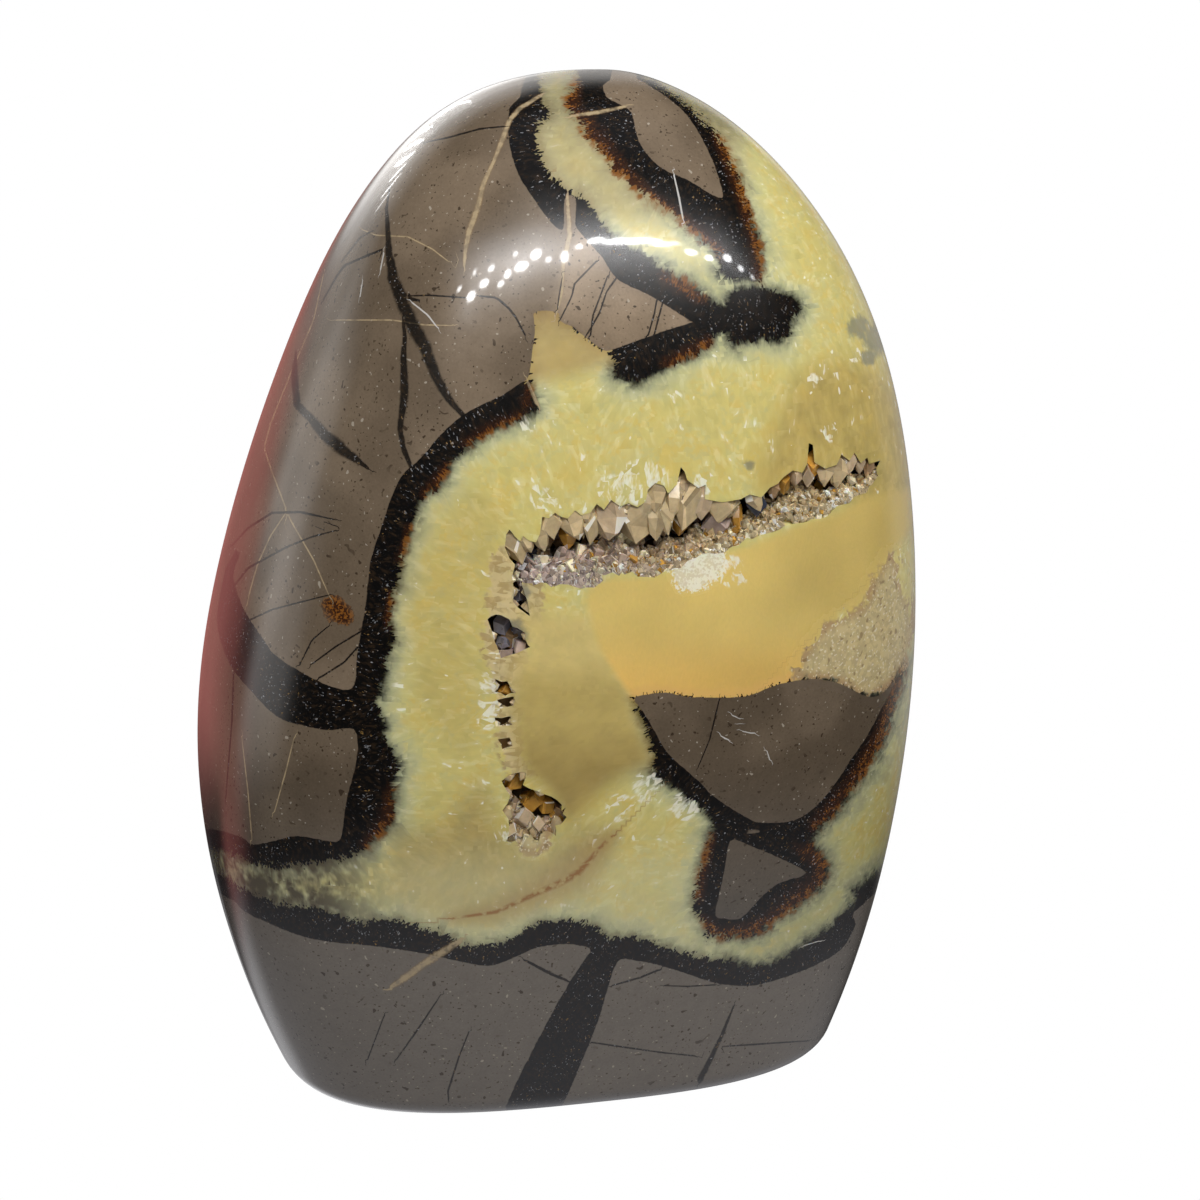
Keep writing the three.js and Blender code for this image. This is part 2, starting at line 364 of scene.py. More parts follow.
FOOT_BAND_BOTTOM = [(-47, -37), (-45, -38.5), (-43, -39.7), (-38, -41.8), (-34, -42.7), (-27, -43.4),
                    (-21.5, -44.3), (-16, -45.5), (-13.5, -45.7), (-11, -44.8), (-8, -43.5), (-4.5, -43),
                    (-1.2, -43.6)]
STALK_LEFT = [(-2, -45), (-5, -49.8), (-7.5, -54.5), (-10.3, -60), (-11.8, -63.3), (-15, -70)]
STALK_RIGHT = [(-8, -70), (-4.6, -63), (-2, -57), (-0.2, -52.5), (1, -48.5), (2.2, -45.2)]
FOOT_BAND_BOTTOM_RIGHT = [(4, -45), (8, -45.8), (12, -47.1), (15, -48), (19, -48.2), (23, -47.2), (27, -45.6),
                          (30.2, -43.6), (32, -40.6), (34, -37), (60, -20)]
LIMESTONE_CELLS = [
    (ARC_OUTER + [(-4.5, 47), (-4.4, 50.2)] + UPPER_ARM_STONE_SIDE + LOWER_ARM_TOP + TONGUE
     + MAIN_BAND_STONE_SIDE + CRESCENT_TOP + [(-60, 9), (-60, 80)]),
    [(-60, 7)] + CRESCENT_FOOT + BLOCK_STONE_SIDE + [(-60, -27)],
    [(-60, -33)] + FOOT_BAND_BOTTOM + STALK_LEFT + [(-60, -70)],
    STALK_RIGHT + FOOT_BAND_BOTTOM_RIGHT + [(60, -70)],
    # the wedge under the honey calcite
    [(4.3, -12.2), (8, -11.6), (11, -12.1), (15, -12.2), (18.5, -12), (21.5, -10.8), (24.5, -10.1),
     (27.5, -9.9), (30.3, -10.6), (33.5, -12.1), (35.5, -11.5), (37.2, -9.5), (35.5, -13), (33.5, -16.8),
     (31.5, -19.8), (29, -23.5), (27, -25.8), (25, -27.2), (23, -27.8), (20, -27.8), (18.5, -27.3),
     (14.5, -24.8), (12.5, -22.8), (8.5, -19.2), (7.2, -17), (5.3, -13.8)],
    # the little triangle inside the black ring
    [(16.4, -30), (19, -30.8), (23, -32.5), (25.8, -34.2), (22.5, -35.3), (20, -37.3), (17.6, -39.8),
     (15.5, -39.8), (14.4, -39.4), (15, -36.5), (15.7, -33)],
    [(17.6, -29), (18.5, -28.7), (20.3, -28.5), (19.5, -29.2)],
    # the lens near the crown
    [(1.8, 80), (1.6, 66.5), (0.4, 64.4), (0.9, 62.8), (2.6, 61.9), (4, 60.8), (4.9, 57.2), (7.4, 54.2),
     (11, 52.5), (15, 50.2), (15.1, 51.8), (13.6, 56), (11.2, 60.2), (9.4, 62), (7.6, 63.4), (5.4, 64.8),
     (4.4, 66.5), (4, 80)],
]

CELL_TONES = [1.0, 0.78, 0.97, 1.0, 0.76, 0.66, 0.80, 1.0]

MAIN_BAND_CALCITE_SIDE = [
    (-50, -31), (-45, -32.2), (-43.6, -33), (-40, -33.4), (-36, -33), (-33, -32.5), (-30, -31.5),
    (-28, -29.7), (-26.8, -28.5), (-25.8, -27), (-26, -24.5), (-25.7, -22), (-25.2, -20.5), (-26.5, -18.5),
    (-27.2, -17), (-27, -15.5), (-27.9, -13.5), (-27.8, -12), (-27, -9), (-26.3, -6), (-25.7, -4.5),
    (-26.3, -3), (-26, 0), (-25, 4.5), (-23.7, 9), (-22.6, 12.2), (-20.7, 13.8), (-19.3, 15.6),
    (-18.5, 17.4), (-17, 18.7), (-15.3, 20), (-12.5, 21.4), (-9, 23.3), (-7.9, 23.9), (-8.4, 26),
    (-8.9, 27.6),
]
TONGUE_MARGIN = [(-9.7, 28.4), (-9.7, 37), (-4.4, 37), (-4.0, 35.7), (-1.5, 34), (0.6, 32.2), (1.3, 31)]
LOWER_ARM_FOOT = [(1.8, 29.5), (2, 28.3), (3, 27.6), (4.5, 27.4), (8, 28.9), (11.5, 30.4), (13.8, 32),
                  (14.2, 33.1), (14.9, 33.6)]
BLOB_RIGHT = [(16, 33), (17, 32), (20, 32.6), (23.3, 32.8), (24.2, 35.2), (25.2, 36.2), (24.5, 37.3),
              (23.5, 38), (21.5, 38.6), (19.8, 39)]
RIGHT_BAND_OUTER = [(20.1, 40.5), (20, 43), (19.5, 45.5), (18.3, 49.5), (17, 53.5), (15, 57.8), (13.5, 59.5),
                    (11.5, 61.5), (9.8, 62.9), (6.5, 65.1), (5.2, 66.6), (5, 80)]
FOOT_BAND_TOP = [
    (60, -18), (34.5, -34.5), (32, -37.6), (30.5, -39.3), (27.5, -42), (23.5, -44.6), (19.5, -45.9),
    (16, -45), (13, -44.6), (10, -43.8), (6.5, -42.7), (4, -41.9), (1, -42), (-1, -40.5), (-5, -40),
    (-8.5, -40.6), (-12, -42.8), (-17, -43.1), (-19.5, -41.7), (-24.5, -40.2), (-26, -39.8), (-30, -40.2),
    (-34, -38.9), (-39, -38), (-43, -36.8), (-46.5, -34.8), (-48, -34), (-60, -31),
]
ARC_INNER = [(-8, 80), (-7.5, 64), (-6.2, 61.5), (-6.3, 60.2), (-7.6, 59), (-7.5, 56), (-6.6, 54),
             (-5.6, 52.5), (-4.4, 51.5), (-3.6, 50.9), (-2.2, 50.3), (-1.2, 49.5), (-0.5, 48), (1.5, 45.5),
             (5, 43), (9.5, 40.3), (13.5, 37.5), (15.4, 36.6)]
BLOB_LEFT = [(15.9, 37.2), (16.3, 38.4), (18, 38.9), (20, 39)]
MIDDLE_BAND_CALCITE_SIDE = [
    (22, 40.3), (20.1, 40), (17, 40.2), (15.2, 40.8), (14.9, 42.2), (14.5, 43.9), (12.5, 45.3), (9.5, 48),
    (6.2, 50), (3.5, 52.5), (2, 53.8), (-0.5, 56.8), (-2, 58.5), (-2.5, 60), (-3.9, 61), (-4.1, 62.6),
    (-3.2, 64.3), (-2.9, 66.3), (-2.8, 80),
]
CALCITE_FILLS = [
    (MAIN_BAND_CALCITE_SIDE + TONGUE_MARGIN + LOWER_ARM_FOOT + BLOB_RIGHT + RIGHT_BAND_OUTER + [(60, 80)]
     + FOOT_BAND_TOP),
    ARC_INNER + BLOB_LEFT + MIDDLE_BAND_CALCITE_SIDE,
]
# The black rings that the calcite goes round: its border with the wedge and with the triangle.
RING_BORDER = [
    (4.8, -13.1), (8, -12.6), (15, -13.2), (19, -12.9), (24.5, -11.1), (27.5, -10.9), (30.5, -11.7),
    (33.5, -13.1), (35.4, -12.4), (37.2, -9.6), (38, -8), (37.2, -11), (36.3, -14.5), (35, -17.8),
    (33.5, -20.8), (31.5, -23.5), (29.5, -26.3), (27.5, -28.3), (26.3, -30), (26.5, -30.8), (27.8, -32),
    (28.2, -34.3), (27, -36.3), (25.5, -37.3), (22.5, -39.6), (20.5, -41), (19, -41.8), (15, -42.2),
    (13.2, -42.2), (13, -40.5), (12.3, -39.8), (11.8, -38.5), (12, -35), (12.7, -33.5), (13.3, -31.5),
    (13.8, -29.3), (14.3, -28.2), (13, -26.3), (11, -24.8), (9.5, -23.3), (7.5, -22.3), (6.5, -21),
    (6.7, -19.5), (6, -17.5), (5.6, -16), (5, -14.8), (4.2, -13.9),
]

# Dark cracks that never opened: across, up and half width at each point.
DARK_VEINS = [
    [(-26.3, 51.5, 0.15), (-26.7, 49, 0.25), (-26.5, 46, 0.45), (-26.4, 43.5, 0.6), (-25.8, 40, 0.95),
     (-25, 38, 1.05), (-23.5, 34.5, 1.15), (-22.1, 32, 1.05), (-20.5, 28, 0.85), (-19.2, 25.5, 0.7),
     (-18, 24, 0.5), (-17, 23, 0.4)],
    [(-38, 31, 0.15), (-38.2, 28, 0.6), (-37.9, 24.5, 0.6), (-36, 22.5, 0.7), (-34.3, 20.5, 0.95),
     (-32.5, 19, 1.0), (-30.8, 17.8, 0.7), (-28.7, 16.2, 0.12)],
    [(-27, 43.9, 0.16), (-29, 43.1, 0.2), (-32, 41.8, 0.2), (-33, 40.3, 0.18), (-34.9, 37, 0.1)],
    [(-23, 57, 0.12), (-19, 57.8, 0.15), (-15, 58.9, 0.15), (-12, 59.2, 0.12)],
    [(-24, 38, 0.12), (-21.5, 38.1, 0.15), (-17, 37.8, 0.12)],
    [(-15, 38, 0.15), (-13, 37.8, 0.2), (-11.5, 36.6, 0.2), (-10.5, 35.3, 0.18), (-9.3, 33, 0.14)],
    [(-0.5, 42.3, 0.15), (-3.2, 39.5, 0.16), (-3.5, 38, 0.14), (-5, 35, 0.12)],
    [(2, 40.2, 0.16), (0.8, 38.5, 0.15), (0, 36, 0.15), (-1.6, 33.2, 0.14)],
    [(7.1, 37.6, 0.15), (6.8, 35.8, 0.15), (6, 33, 0.15)],
    [(-46, 6.8, 0.14), (-44, 9, 0.16), (-41, 10.9, 0.2), (-37.5, 11, 0.22), (-33, 10, 0.1)],
    [(-45.8, 1.7, 0.16), (-44, 4, 0.18), (-39, 6.7, 0.18), (-36, 7.9, 0.16), (-33, 8.7, 0.1)],
    [(-43.8, -2.5, 0.15), (-41, -1.2, 0.15), (-38, -0.4, 0.14), (-34, 0.6, 0.1)],
    [(-35, -9.7, 0.16), (-32, -7.8, 0.18), (-30.3, -5.9, 0.16)],
    [(-37.5, -8, 0.12), (-36, -5, 0.14), (-34, -3.3, 0.1)],
    [(-45.8, -9, 0.12), (-46, -15, 0.14), (-46.8, -25, 0.1)],
    [(-9.4, -45, 0.2), (-6, -46.8, 0.28), (-4, -47.6, 0.2)],
    [(1.5, -48.2, 0.12), (5, -47.2, 0.18), (7.4, -46.2, 0.16)],
    [(-1, -55.3, 0.12), (3, -55.9, 0.15), (8, -56.6, 0.12), (12, -57, 0.12)],
    [(15.5, -55.8, 0.1), (20, -55.5, 0.14), (26, -55.1, 0.1)],
    [(-16.4, -54, 0.1), (-17.6, -57, 0.15), (-19, -61.4, 0.18), (-18.9, -62.5, 0.1)],
    [(-20, -49.5, 0.1), (-23, -54, 0.16), (-25.5, -57.5, 0.1)],
    [(-27, -52, 0.1), (-29, -57.3, 0.12)],
    [(16.7, -50.8, 0.15), (16, -52.5, 0.22), (15.2, -54.5, 0.28), (14, -57, 0.4), (12.5, -60, 0.5)],
    [(14.9, -12.5, 0.1), (14.3, -15, 0.13), (13.7, -17.5, 0.12), (12.3, -20.8, 0.08)],
]
# Cracks that run close beside the first ones.
NEIGHBOUR_VEINS = [
    [(-24.6, 35, 0.3), (-24.4, 33, 0.35), (-24.6, 30, 0.55), (-24.4, 26, 0.72), (-25, 21.5, 0.45),
     (-24.6, 19, 0.42), (-23.6, 16.6, 0.4)],
    [(1, 40.6, 0.14), (-0.9, 35.5, 0.15), (-1.2, 33, 0.14)],
    [(7.9, 37.4, 0.14), (7.4, 35.6, 0.15), (6.8, 33.2, 0.15)],
    [(-28.8, 46, 0.12), (-30, 45.3, 0.14), (-32.3, 42.3, 0.1)],
    [(-36, -8, 0.12), (-33, -5.8, 0.16), (-30, -4, 0.16)],
    [(-4.7, 40.5, 0.1), (-5.2, 37.5, 0.12), (-5.3, 36.3, 0.1)],
    [(8, -48.2, 0.1), (11, -48.3, 0.12), (14.5, -48.1, 0.1)],
]
# Healed cracks filled with tan crystal: across, up and half width.
TAN_VEINS = [
    [(-7.2, 63.2, 0.3), (-10, 61.5, 0.38), (-11.3, 60, 0.4), (-12.3, 57.3, 0.45), (-13.3, 54.8, 0.3),
     (-14.6, 52, 0.42), (-15.3, 49, 0.5), (-16.4, 46, 0.5), (-16.8, 44, 0.4), (-17, 41.5, 0.2)],
    [(-29.5, 46.2, 0.1), (-28, 45.6, 0.14), (-24, 45.4, 0.15), (-21, 43.9, 0.14), (-18.8, 42.2, 0.1)],
    [(-33.3, 35, 0.1), (-26, 35, 0.14), (-22, 34.4, 0.14), (-18.5, 34.3, 0.1)],
    [(-34.5, 41, 0.1), (-35.8, 35, 0.13), (-38.8, 28, 0.15), (-41.2, 22, 0.16), (-42, 19, 0.16),
     (-41, 16, 0.14), (-38.7, 10, 0.14), (-35.8, 5, 0.14), (-34.5, 2, 0.12), (-33.6, 0, 0.1)],
    [(-39.2, 11, 0.1), (-41.2, 8, 0.13), (-42.8, 4.5, 0.13), (-43.8, 1, 0.12), (-44.2, -1, 0.1)],
    [(-38.2, -17, 0.08), (-39.3, -21.5, 0.13), (-40.7, -26.5, 0.1)],
    [(-44.8, -17, 0.08), (-44, -24, 0.12), (-43.5, -30, 0.1)],
    [(-26, -48.3, 0.4), (-24.5, -47.3, 0.6), (-22, -45.5, 0.6), (-20.5, -44.5, 0.7), (-19, -43.6, 0.6),
     (-17.5, -42.6, 0.45)],
    [(-9.2, 27.6, 0.2), (-8.5, 26, 0.34), (-7.8, 24.4, 0.3)],
    [(-3.6, 60.5, 0.25), (0, 61, 0.35), (3.2, 61.7, 0.25)],
    [(-4.1, 50.8, 0.25), (-3.8, 45.5, 0.45), (-4.6, 42, 0.35), (-4.8, 38, 0.25), (-5.6, 35.5, 0.2)],
]
RED_VEIN = [
    (1.5, -29.5, 0.2), (0, -31, 0.3), (-2, -33.3, 0.42), (-3, -34.3, 0.5), (-5.5, -35.6, 0.42),
    (-9.5, -37.4, 0.32), (-13, -39, 0.26), (-18.5, -39.8, 0.15),
]
WHITE_SCRATCHES = [
    [(9.2, 53.3, 0.08), (9.9, 50.2, 0.11), (10.4, 47.5, 0.1)],
    [(-23.5, 37.2, 0.08), (-21.5, 35.6, 0.1), (-20.3, 34, 0.07)],
    [(-29.7, 39.8, 0.07), (-30, 37.9, 0.07)],
    [(-27, 43.5, 0.08), (-27.5, 41, 0.08)],
    [(15.2, -17.0, 0.07), (15.9, -17.5, 0.09)], [(17.8, -16.4, 0.05), (19.2, -16.7, 0.07)],
    [(16.6, -14.4, 0.06), (17.2, -14.7, 0.07)], [(20.9, -19.0, 0.06), (21.2, -19.9, 0.07)],
    [(25.5, -43.2, 0.05), (27.5, -42.6, 0.06)],
]


def round_off(points, steps=3):
    """More points on a smooth course through the given ones."""
    points = np.array(points, dtype=float)
    before, after = np.roll(points, 1, axis=0), np.roll(points, -1, axis=0)
    after_next = np.roll(points, -2, axis=0)
    course = []
    for share in np.arange(steps) / steps:
        square, cube = share ** 2, share ** 3
        course.append((-share + 2 * square - cube) / 2 * before + (2 - 5 * square + 3 * cube) / 2 * points
                      + (share + 4 * square - 3 * cube) / 2 * after + (cube - square) / 2 * after_next)
    return np.stack(course, axis=1).reshape(-1, points.shape[1])


def inside_distance(places, border):
    """Signed distance to a closed border, positive inside."""
    nearest = np.full(len(places), 1e9)
    inside = np.zeros(len(places), dtype=bool)
    for start, end in zip(border, np.roll(border, -1, axis=0)):
        run = end - start
        length = run @ run
        if length < 1e-12:
            continue
        offset = places - start
        share = np.clip(offset @ run / length, 0, 1)
        gap = offset - share[:, None] * run
        nearest = np.minimum(nearest, np.einsum("ij,ij->i", gap, gap))
        crosses = (start[1] > places[:, 1]) != (end[1] > places[:, 1])
        if run[1]:
            inside ^= crosses & (places[:, 0] < start[0] + (places[:, 1] - start[1]) / run[1] * run[0])
    return np.where(inside, 1, -1) * np.sqrt(nearest)


def line_nearness(places, lines):
    """Signed distance to the nearest line, in half widths of that line, and the clear gap to its edge."""
    nearest = np.full(len(places), 1e9)
    clear = np.full(len(places), 1e9)
    for line in lines:
        for start, end in zip(line[:-1], line[1:]):
            run = np.array(end[:2]) - start[:2]
            offset = places - start[:2]
            share = np.clip(offset @ run / (run @ run), 0, 1)
            gap = offset - share[:, None] * run
            reach = np.hypot(*gap.T)
            width = start[2] + share * (end[2] - start[2])
            side = np.where(run[0] * offset[:, 1] - run[1] * offset[:, 0] < 0, -1, 1)
            closer = reach - width < clear
            nearest = np.where(closer, side * reach / width, nearest)
            clear = np.where(closer, reach - width, clear)
    return nearest, np.clip(clear, 0, 6)


# Behind the show face the cracks are flat sheets half way between the hearts of neighbouring cells.
CELL_HEARTS = np.array([
    (-42, -2, 88), (-45, 2, 42), (-46, 6, 6), (-38, 0, -14), (40, 4, 4), (44, 10, 44), (46, 4, 82),
    (26, 6, 112), (-14, 8, 122), (-20, 34, 88), (12, 36, 96), (34, 30, 66), (-2, 38, 60), (-32, 32, 54),
    (-22, 34, 20), (10, 36, 24), (38, 26, 22), (0, 10, 132), (-8, 0, -12), (22, 4, -10),
])
CRACK_OPENINGS = np.array([
    1.6, 1.0, 2.2, 1.2, 3.6, 1.0, 3.2, 1.8, 2.6, 1.2, 4.0, 1.6, 2.8, 1.2, 3.4, 1.4, 2.2, 1.2, 1, 1,
])
LINING = 2.1
BEND = 3.2
BEND_LENGTH = 21.0
FLANK_WANDER = 0.24
FLANK_LINING = 5.0
FIELD_LIMIT = 5.0
FLANK_ENDS = (-0.22, 0.06)      # how far the surface faces the eye where the drawing ends and holds

places = vertex_places(stone) / MM
plan = on_plan(places)
normals = numbers_of(stone.data.vertices, "normal", 3)
facing = np.einsum("ij,ij->i", normals, (eye - places) / np.linalg.norm(eye - places, axis=1)[:, None])

# The inside of the vug is coloured like the face in front of it, down to its deepest point. A point
# that lies on the polished face itself has no depth.
DEEPEST = 12.0
ON_THE_FACE = 0.02
VUG_LOW = (-16, -33)
VUG_HIGH = (37, 21)
near_the_vug = ((plan > VUG_LOW) & (plan < VUG_HIGH)).all(axis=1) & (places[:, 1] < 0)
depth = np.zeros(len(places))
for index in np.flatnonzero(near_the_vug):
    if outside.find_nearest(Vector(places[index]))[3] < ON_THE_FACE:
        continue
    face = face_distance(*plan[index])
    below_face = np.linalg.norm(places[index] - eye) - face if face else DEEPEST
    if below_face < DEEPEST:
        depth[index] = below_face
        facing[index] = 1.0
depth = np.clip(depth, 0, DEEPEST)

wave = places / BEND_LENGTH
bent = places + BEND * np.stack([
    np.sin(wave[:, 1] * 2.1 + 1.3) + 0.6 * np.sin(wave[:, 2] * 3.7 + 0.4),
    np.sin(wave[:, 2] * 1.9 + 2.2) + 0.6 * np.sin(wave[:, 0] * 3.3 + 5.1),
    np.sin(wave[:, 0] * 2.3 + 4.0) + 0.6 * np.sin(wave[:, 1] * 3.9 + 3.3),
], axis=1)
gaps = np.linalg.norm(bent[:, None, :] - CELL_HEARTS[None], axis=2)
own = np.argmin(gaps, axis=1)
rows = np.arange(len(places))
between = np.linalg.norm(CELL_HEARTS[own][:, None] - CELL_HEARTS[None], axis=2)
between[rows, own] = 1.0
sheets = (gaps ** 2 - gaps[rows, own][:, None] ** 2) / (2 * between)
sheets -= CRACK_OPENINGS[own][:, None] + CRACK_OPENINGS
sheets[rows, own] = np.inf
other = np.argmin(sheets, axis=1)
network_stone = sheets[rows, other]
network_calcite = -network_stone - LINING


def ease(value, low, high):
    share = np.clip((value - low) / (high - low), 0, 1)
    return share * share * (3 - 2 * share)


cell_fields = [inside_distance(plan, round_off(cell)) for cell in LIMESTONE_CELLS]
drawn_stone = np.max(cell_fields, axis=0)
stone_tone = np.array(CELL_TONES)[np.argmax(cell_fields, axis=0)]
drawn_calcite = np.max([inside_distance(plan, round_off(fill)) for fill in CALCITE_FILLS], axis=0)
ring_gap = inside_distance(plan, round_off(RING_BORDER))
drawn_calcite = np.minimum(drawn_calcite, -ring_gap)
# The drawing gives way to the sheets on the hidden flanks, along a wandering line.
wander = FLANK_WANDER * (0.5 + 0.5 * np.sin(places[:, 2] / 7.5 + 1.2 * np.sin(places[:, 2] / 4.3)))
behind = 1 - ease(facing + wander, *FLANK_ENDS)


def front_to_back(drawn, network):
    """The drawn distances on the show face, passing into those of the sheets behind it."""
    return ((1 - behind) * np.clip(drawn, -FIELD_LIMIT, FIELD_LIMIT)
            + behind * np.clip(network, -FIELD_LIMIT, FIELD_LIMIT))


stone_field = front_to_back(drawn_stone, network_stone)
calcite_field = front_to_back(drawn_calcite, network_calcite)
flank_lining = LINING * behind + FLANK_LINING * behind * (1 - behind)
calcite_field = np.minimum(calcite_field, -stone_field - flank_lining)

FAR_WIDTHS = 80


def crack_fields(lines):
    """The signed field of a set of cracks, and the clear gap, which tells a crack from a change of sides."""
    nearest, clear = line_nearness(plan, lines)
    fade = 1 + FAR_WIDTHS * ease(-facing, -0.05, 0.12)
    return np.clip(nearest * fade, -FAR_WIDTHS, FAR_WIDTHS), clear


# Where the calcite and the cracks are tinted. Each patch is drawn on the face plan.
HONEY_PATCH = [
    (-1.5, 1.2), (-1.3, -1.9), (0, -6), (1.5, -8.5), (4.2, -12.2), (9, -13.5), (20, -13), (25, -9.6),
    (27, -5), (30, -1.6), (33, 0), (35, 3.8), (38, 8), (41, 14), (34, 13), (30, 11), (24, 9), (17, 6.2),
    (12, 5.5), (8, 3), (1, 2.6),
]
TONGUE_PATCH = [(-13, 27), (-13, 38), (-4, 38), (3, 32), (1.5, 29.8), (-3, 28.2), (-8, 27.2)]
GOLDEN_PATCH = [(20, 14), (22, 22), (25, 28), (30, 30), (36, 28), (41, 20), (42, 10), (38, 8), (30, 12)]
WARM_PATCH = [(-22, -14), (-25, 0), (-21, 10), (-15, 14), (-12, 8), (-15, -4), (-15, -14), (-17, -18)]
LIP_PATCH = [
    (-13.5, 6), (-10, 7), (-7.5, 3), (-7, -2), (-9, -7), (-9.6, -14), (-9.8, -19), (-8, -22), (-10.8, -22),
    (-12.6, -19), (-13.3, -12), (-14.6, -6), (-14.2, 0),
]
DUSKY_PATCH = [
    (-26, -30), (-20, -28), (-15, -23), (-13, -28), (-8, -32), (-3, -28.5), (1.5, -29.5), (-1, -34),
    (-6, -37), (-14, -40), (-24, -38.5),
]
LIGHT_STONE = [(-5.5, 36), (-2.5, 46), (2, 41), (12, 35), (4, 31), (0, 30), (-3, 33)]
OLIVE_PATCH = [
    (-9.5, -2), (-1.5, -2.2), (0.5, -6), (3, -10), (4.2, -12.5), (4.5, -14.5), (6, -18), (6.2, -20.5),
    (2, -22.5), (-1, -25), (-4, -27.5), (-6.5, -24), (-10, -20), (-10.8, -10), (-9, -6),
]
SANDY_PATCH = [
    (24.3, -9.4), (25, -7.5), (26.5, -5), (28.2, -3), (31, -1.5), (33, -0.2), (34, 2.8), (36.6, 5.8),
    (38, 2), (39.5, -3), (38, -9), (35.3, -11.4), (34, -12.4), (32.5, -12), (29.5, -10.3), (26, -9.9),
]
WHITE_PATCH = [
    (9.2, 5), (8.9, 3), (10, 1.2), (12.5, 1.2), (15, 3), (15.8, 4.6), (15.5, 6.2), (14, 6.8), (12.3, 6.4),
]
CLOUDY_SPOTS = [
    (5.5, 14.8, 2.6), (-13.9, -10.2, 1.1), (26.9, 27.2, 0.9), (9.4, 25.4, 0.7), (28.7, 21, 1.0),
    (32, 30.6, 0.8), (1.5, 13.5, 2.0), (-7, 12.8, 1.6), (6, -23.5, 1.8), (2.5, -26, 1.6),
    (10.6, -25.8, 1.5), (-12, -29.5, 1.2), (-13.8, -12.6, 1.3), (-14.1, -15, 1.1), (16.5, 3.5, 1.8),
    (-9.5, 22, 1.2), (13, 14.6, 1.2),
]
SANDY_SPOTS = [(-8.5, -29.5, 2.4), (31.5, 15.6, 1.8), (28.5, 14.4, 1.3), (26, 14.6, 1.0)]
BLUE_SPOTS = [
    (34.8, 32.8, 2.3), (33.6, 30.4, 1.2), (32.2, 34.2, 1.6), (18.6, 16.9, 0.8), (-11, -4.2, 2.0),
    (-9.8, 0.8, 1.4), (20.5, 10.2, 1.6),
]
RUST_STREAKS = [
    [(-3.9, 61.5, 1.2), (-4, 62.8, 1.3), (-3.4, 64.3, 0.9)],
    [(-3, 60, 1.2), (-1, 57.6, 1.9), (1, 55.4, 1.5), (2.6, 53.2, 1.2), (5, 51, 1.0), (8, 48.9, 0.8),
     (12.5, 45.5, 0.9), (15, 43.5, 0.7)],
    [(15, 57.8, 0.7), (17, 53.5, 0.9), (18.3, 49.5, 0.8), (19.5, 45.5, 0.8), (20.1, 43, 0.8),
     (20, 40.5, 0.8)],
    [(8.5, 40.2, 0.9), (10.5, 39.6, 1.2), (12.4, 38, 0.8)],
    [(8.2, 29.6, 0.5), (11, 30.7, 0.8), (13.6, 32.2, 0.6)],
    [(-10, 22.8, 0.5), (-13, 21.4, 0.9), (-16.4, 19.5, 0.6)],
    [(-19, 16.6, 0.5), (-21.6, 13.2, 0.6)], [(-23.6, 9, 0.4), (-24.9, 5, 0.4)],
    [(-26, 0.5, 0.4), (-26.4, -2.8, 0.4)], [(-25.8, -24, 0.7), (-27, -28.5, 0.8), (-29, -30.6, 0.6)],
    [(37.6, -9.5, 0.8), (35.6, -16.2, 0.9), (31.5, -23.2, 0.9), (27.2, -28, 0.9)],
    [(26.5, -30.8, 0.6), (28, -33.6, 1.0), (25.5, -37.2, 1.1), (20.8, -40.6, 1.0), (15, -42, 0.7),
     (13, -40.2, 0.6)],
    [(12.2, -37, 0.6), (12.6, -33.8, 0.6), (13.9, -29.6, 0.5)],
    [(22, -36.6, 0.9), (25, -35, 1.0)], [(24, -31.5, 0.9), (26.5, -32.4, 0.9)],
    [(-38, -12.6, 1.0), (-34.5, -13, 0.9)], [(-4.9, 53.8, 0.7), (-4.7, 53.7, 0.7)],
    [(2.6, 51.2, 0.8), (2.9, 51.1, 0.7)], [(4.8, 49.3, 0.9), (5.4, 49.2, 0.8)],
    [(-41, -36.3, 0.35), (-39, -36, 0.4), (-36.9, -35.9, 0.3)], [(-9.3, 24.6, 0.5), (-8.6, 26.4, 0.5)],
]
RUST_SPOT = [(-33.4, -0.6, 1.5), (-32.5, -1.6, 1.7), (-31.8, -2.2, 1.2)]


def patch(outline, softness):
    """1 well inside an outline on the plan, fading to 0 across its edge."""
    return ease(inside_distance(plan, round_off(outline)), -softness, softness) * (1 - behind)


def spots(circles):
    """1 in the middle of round spots on the plan, fading to 0 at their rims."""
    cover = np.zeros(len(plan))
    for across, up, size in circles:
        gap = np.hypot(plan[:, 0] - across, plan[:, 1] - up)
        cover = np.maximum(cover, 1 - ease(gap, 0.3 * size, 1.5 * size))
    return cover * (1 - behind)


def fibre_ways(places_on_plan):
    """Twice the angle at which the crystals stand, square to the nearest border, as cosine and sine."""
    nearest = np.full(len(places_on_plan), 1e9)
    way = np.zeros_like(places_on_plan)
    for border in [round_off(fill) for fill in CALCITE_FILLS] + [round_off(RING_BORDER)]:
        for start, end in zip(border, np.roll(border, -1, axis=0)):
            run = end - start
            offset = places_on_plan - start
            share = np.clip(offset @ run / max(run @ run, 1e-9), 0, 1)
            gap = offset - share[:, None] * run
            length = np.einsum("ij,ij->i", gap, gap)
            closer = length < nearest
            nearest[closer] = length[closer]
            way[closer] = (-run[1], run[0])
    double = 2 * np.arctan2(way[:, 1], way[:, 0])
    return np.cos(double), np.sin(double)


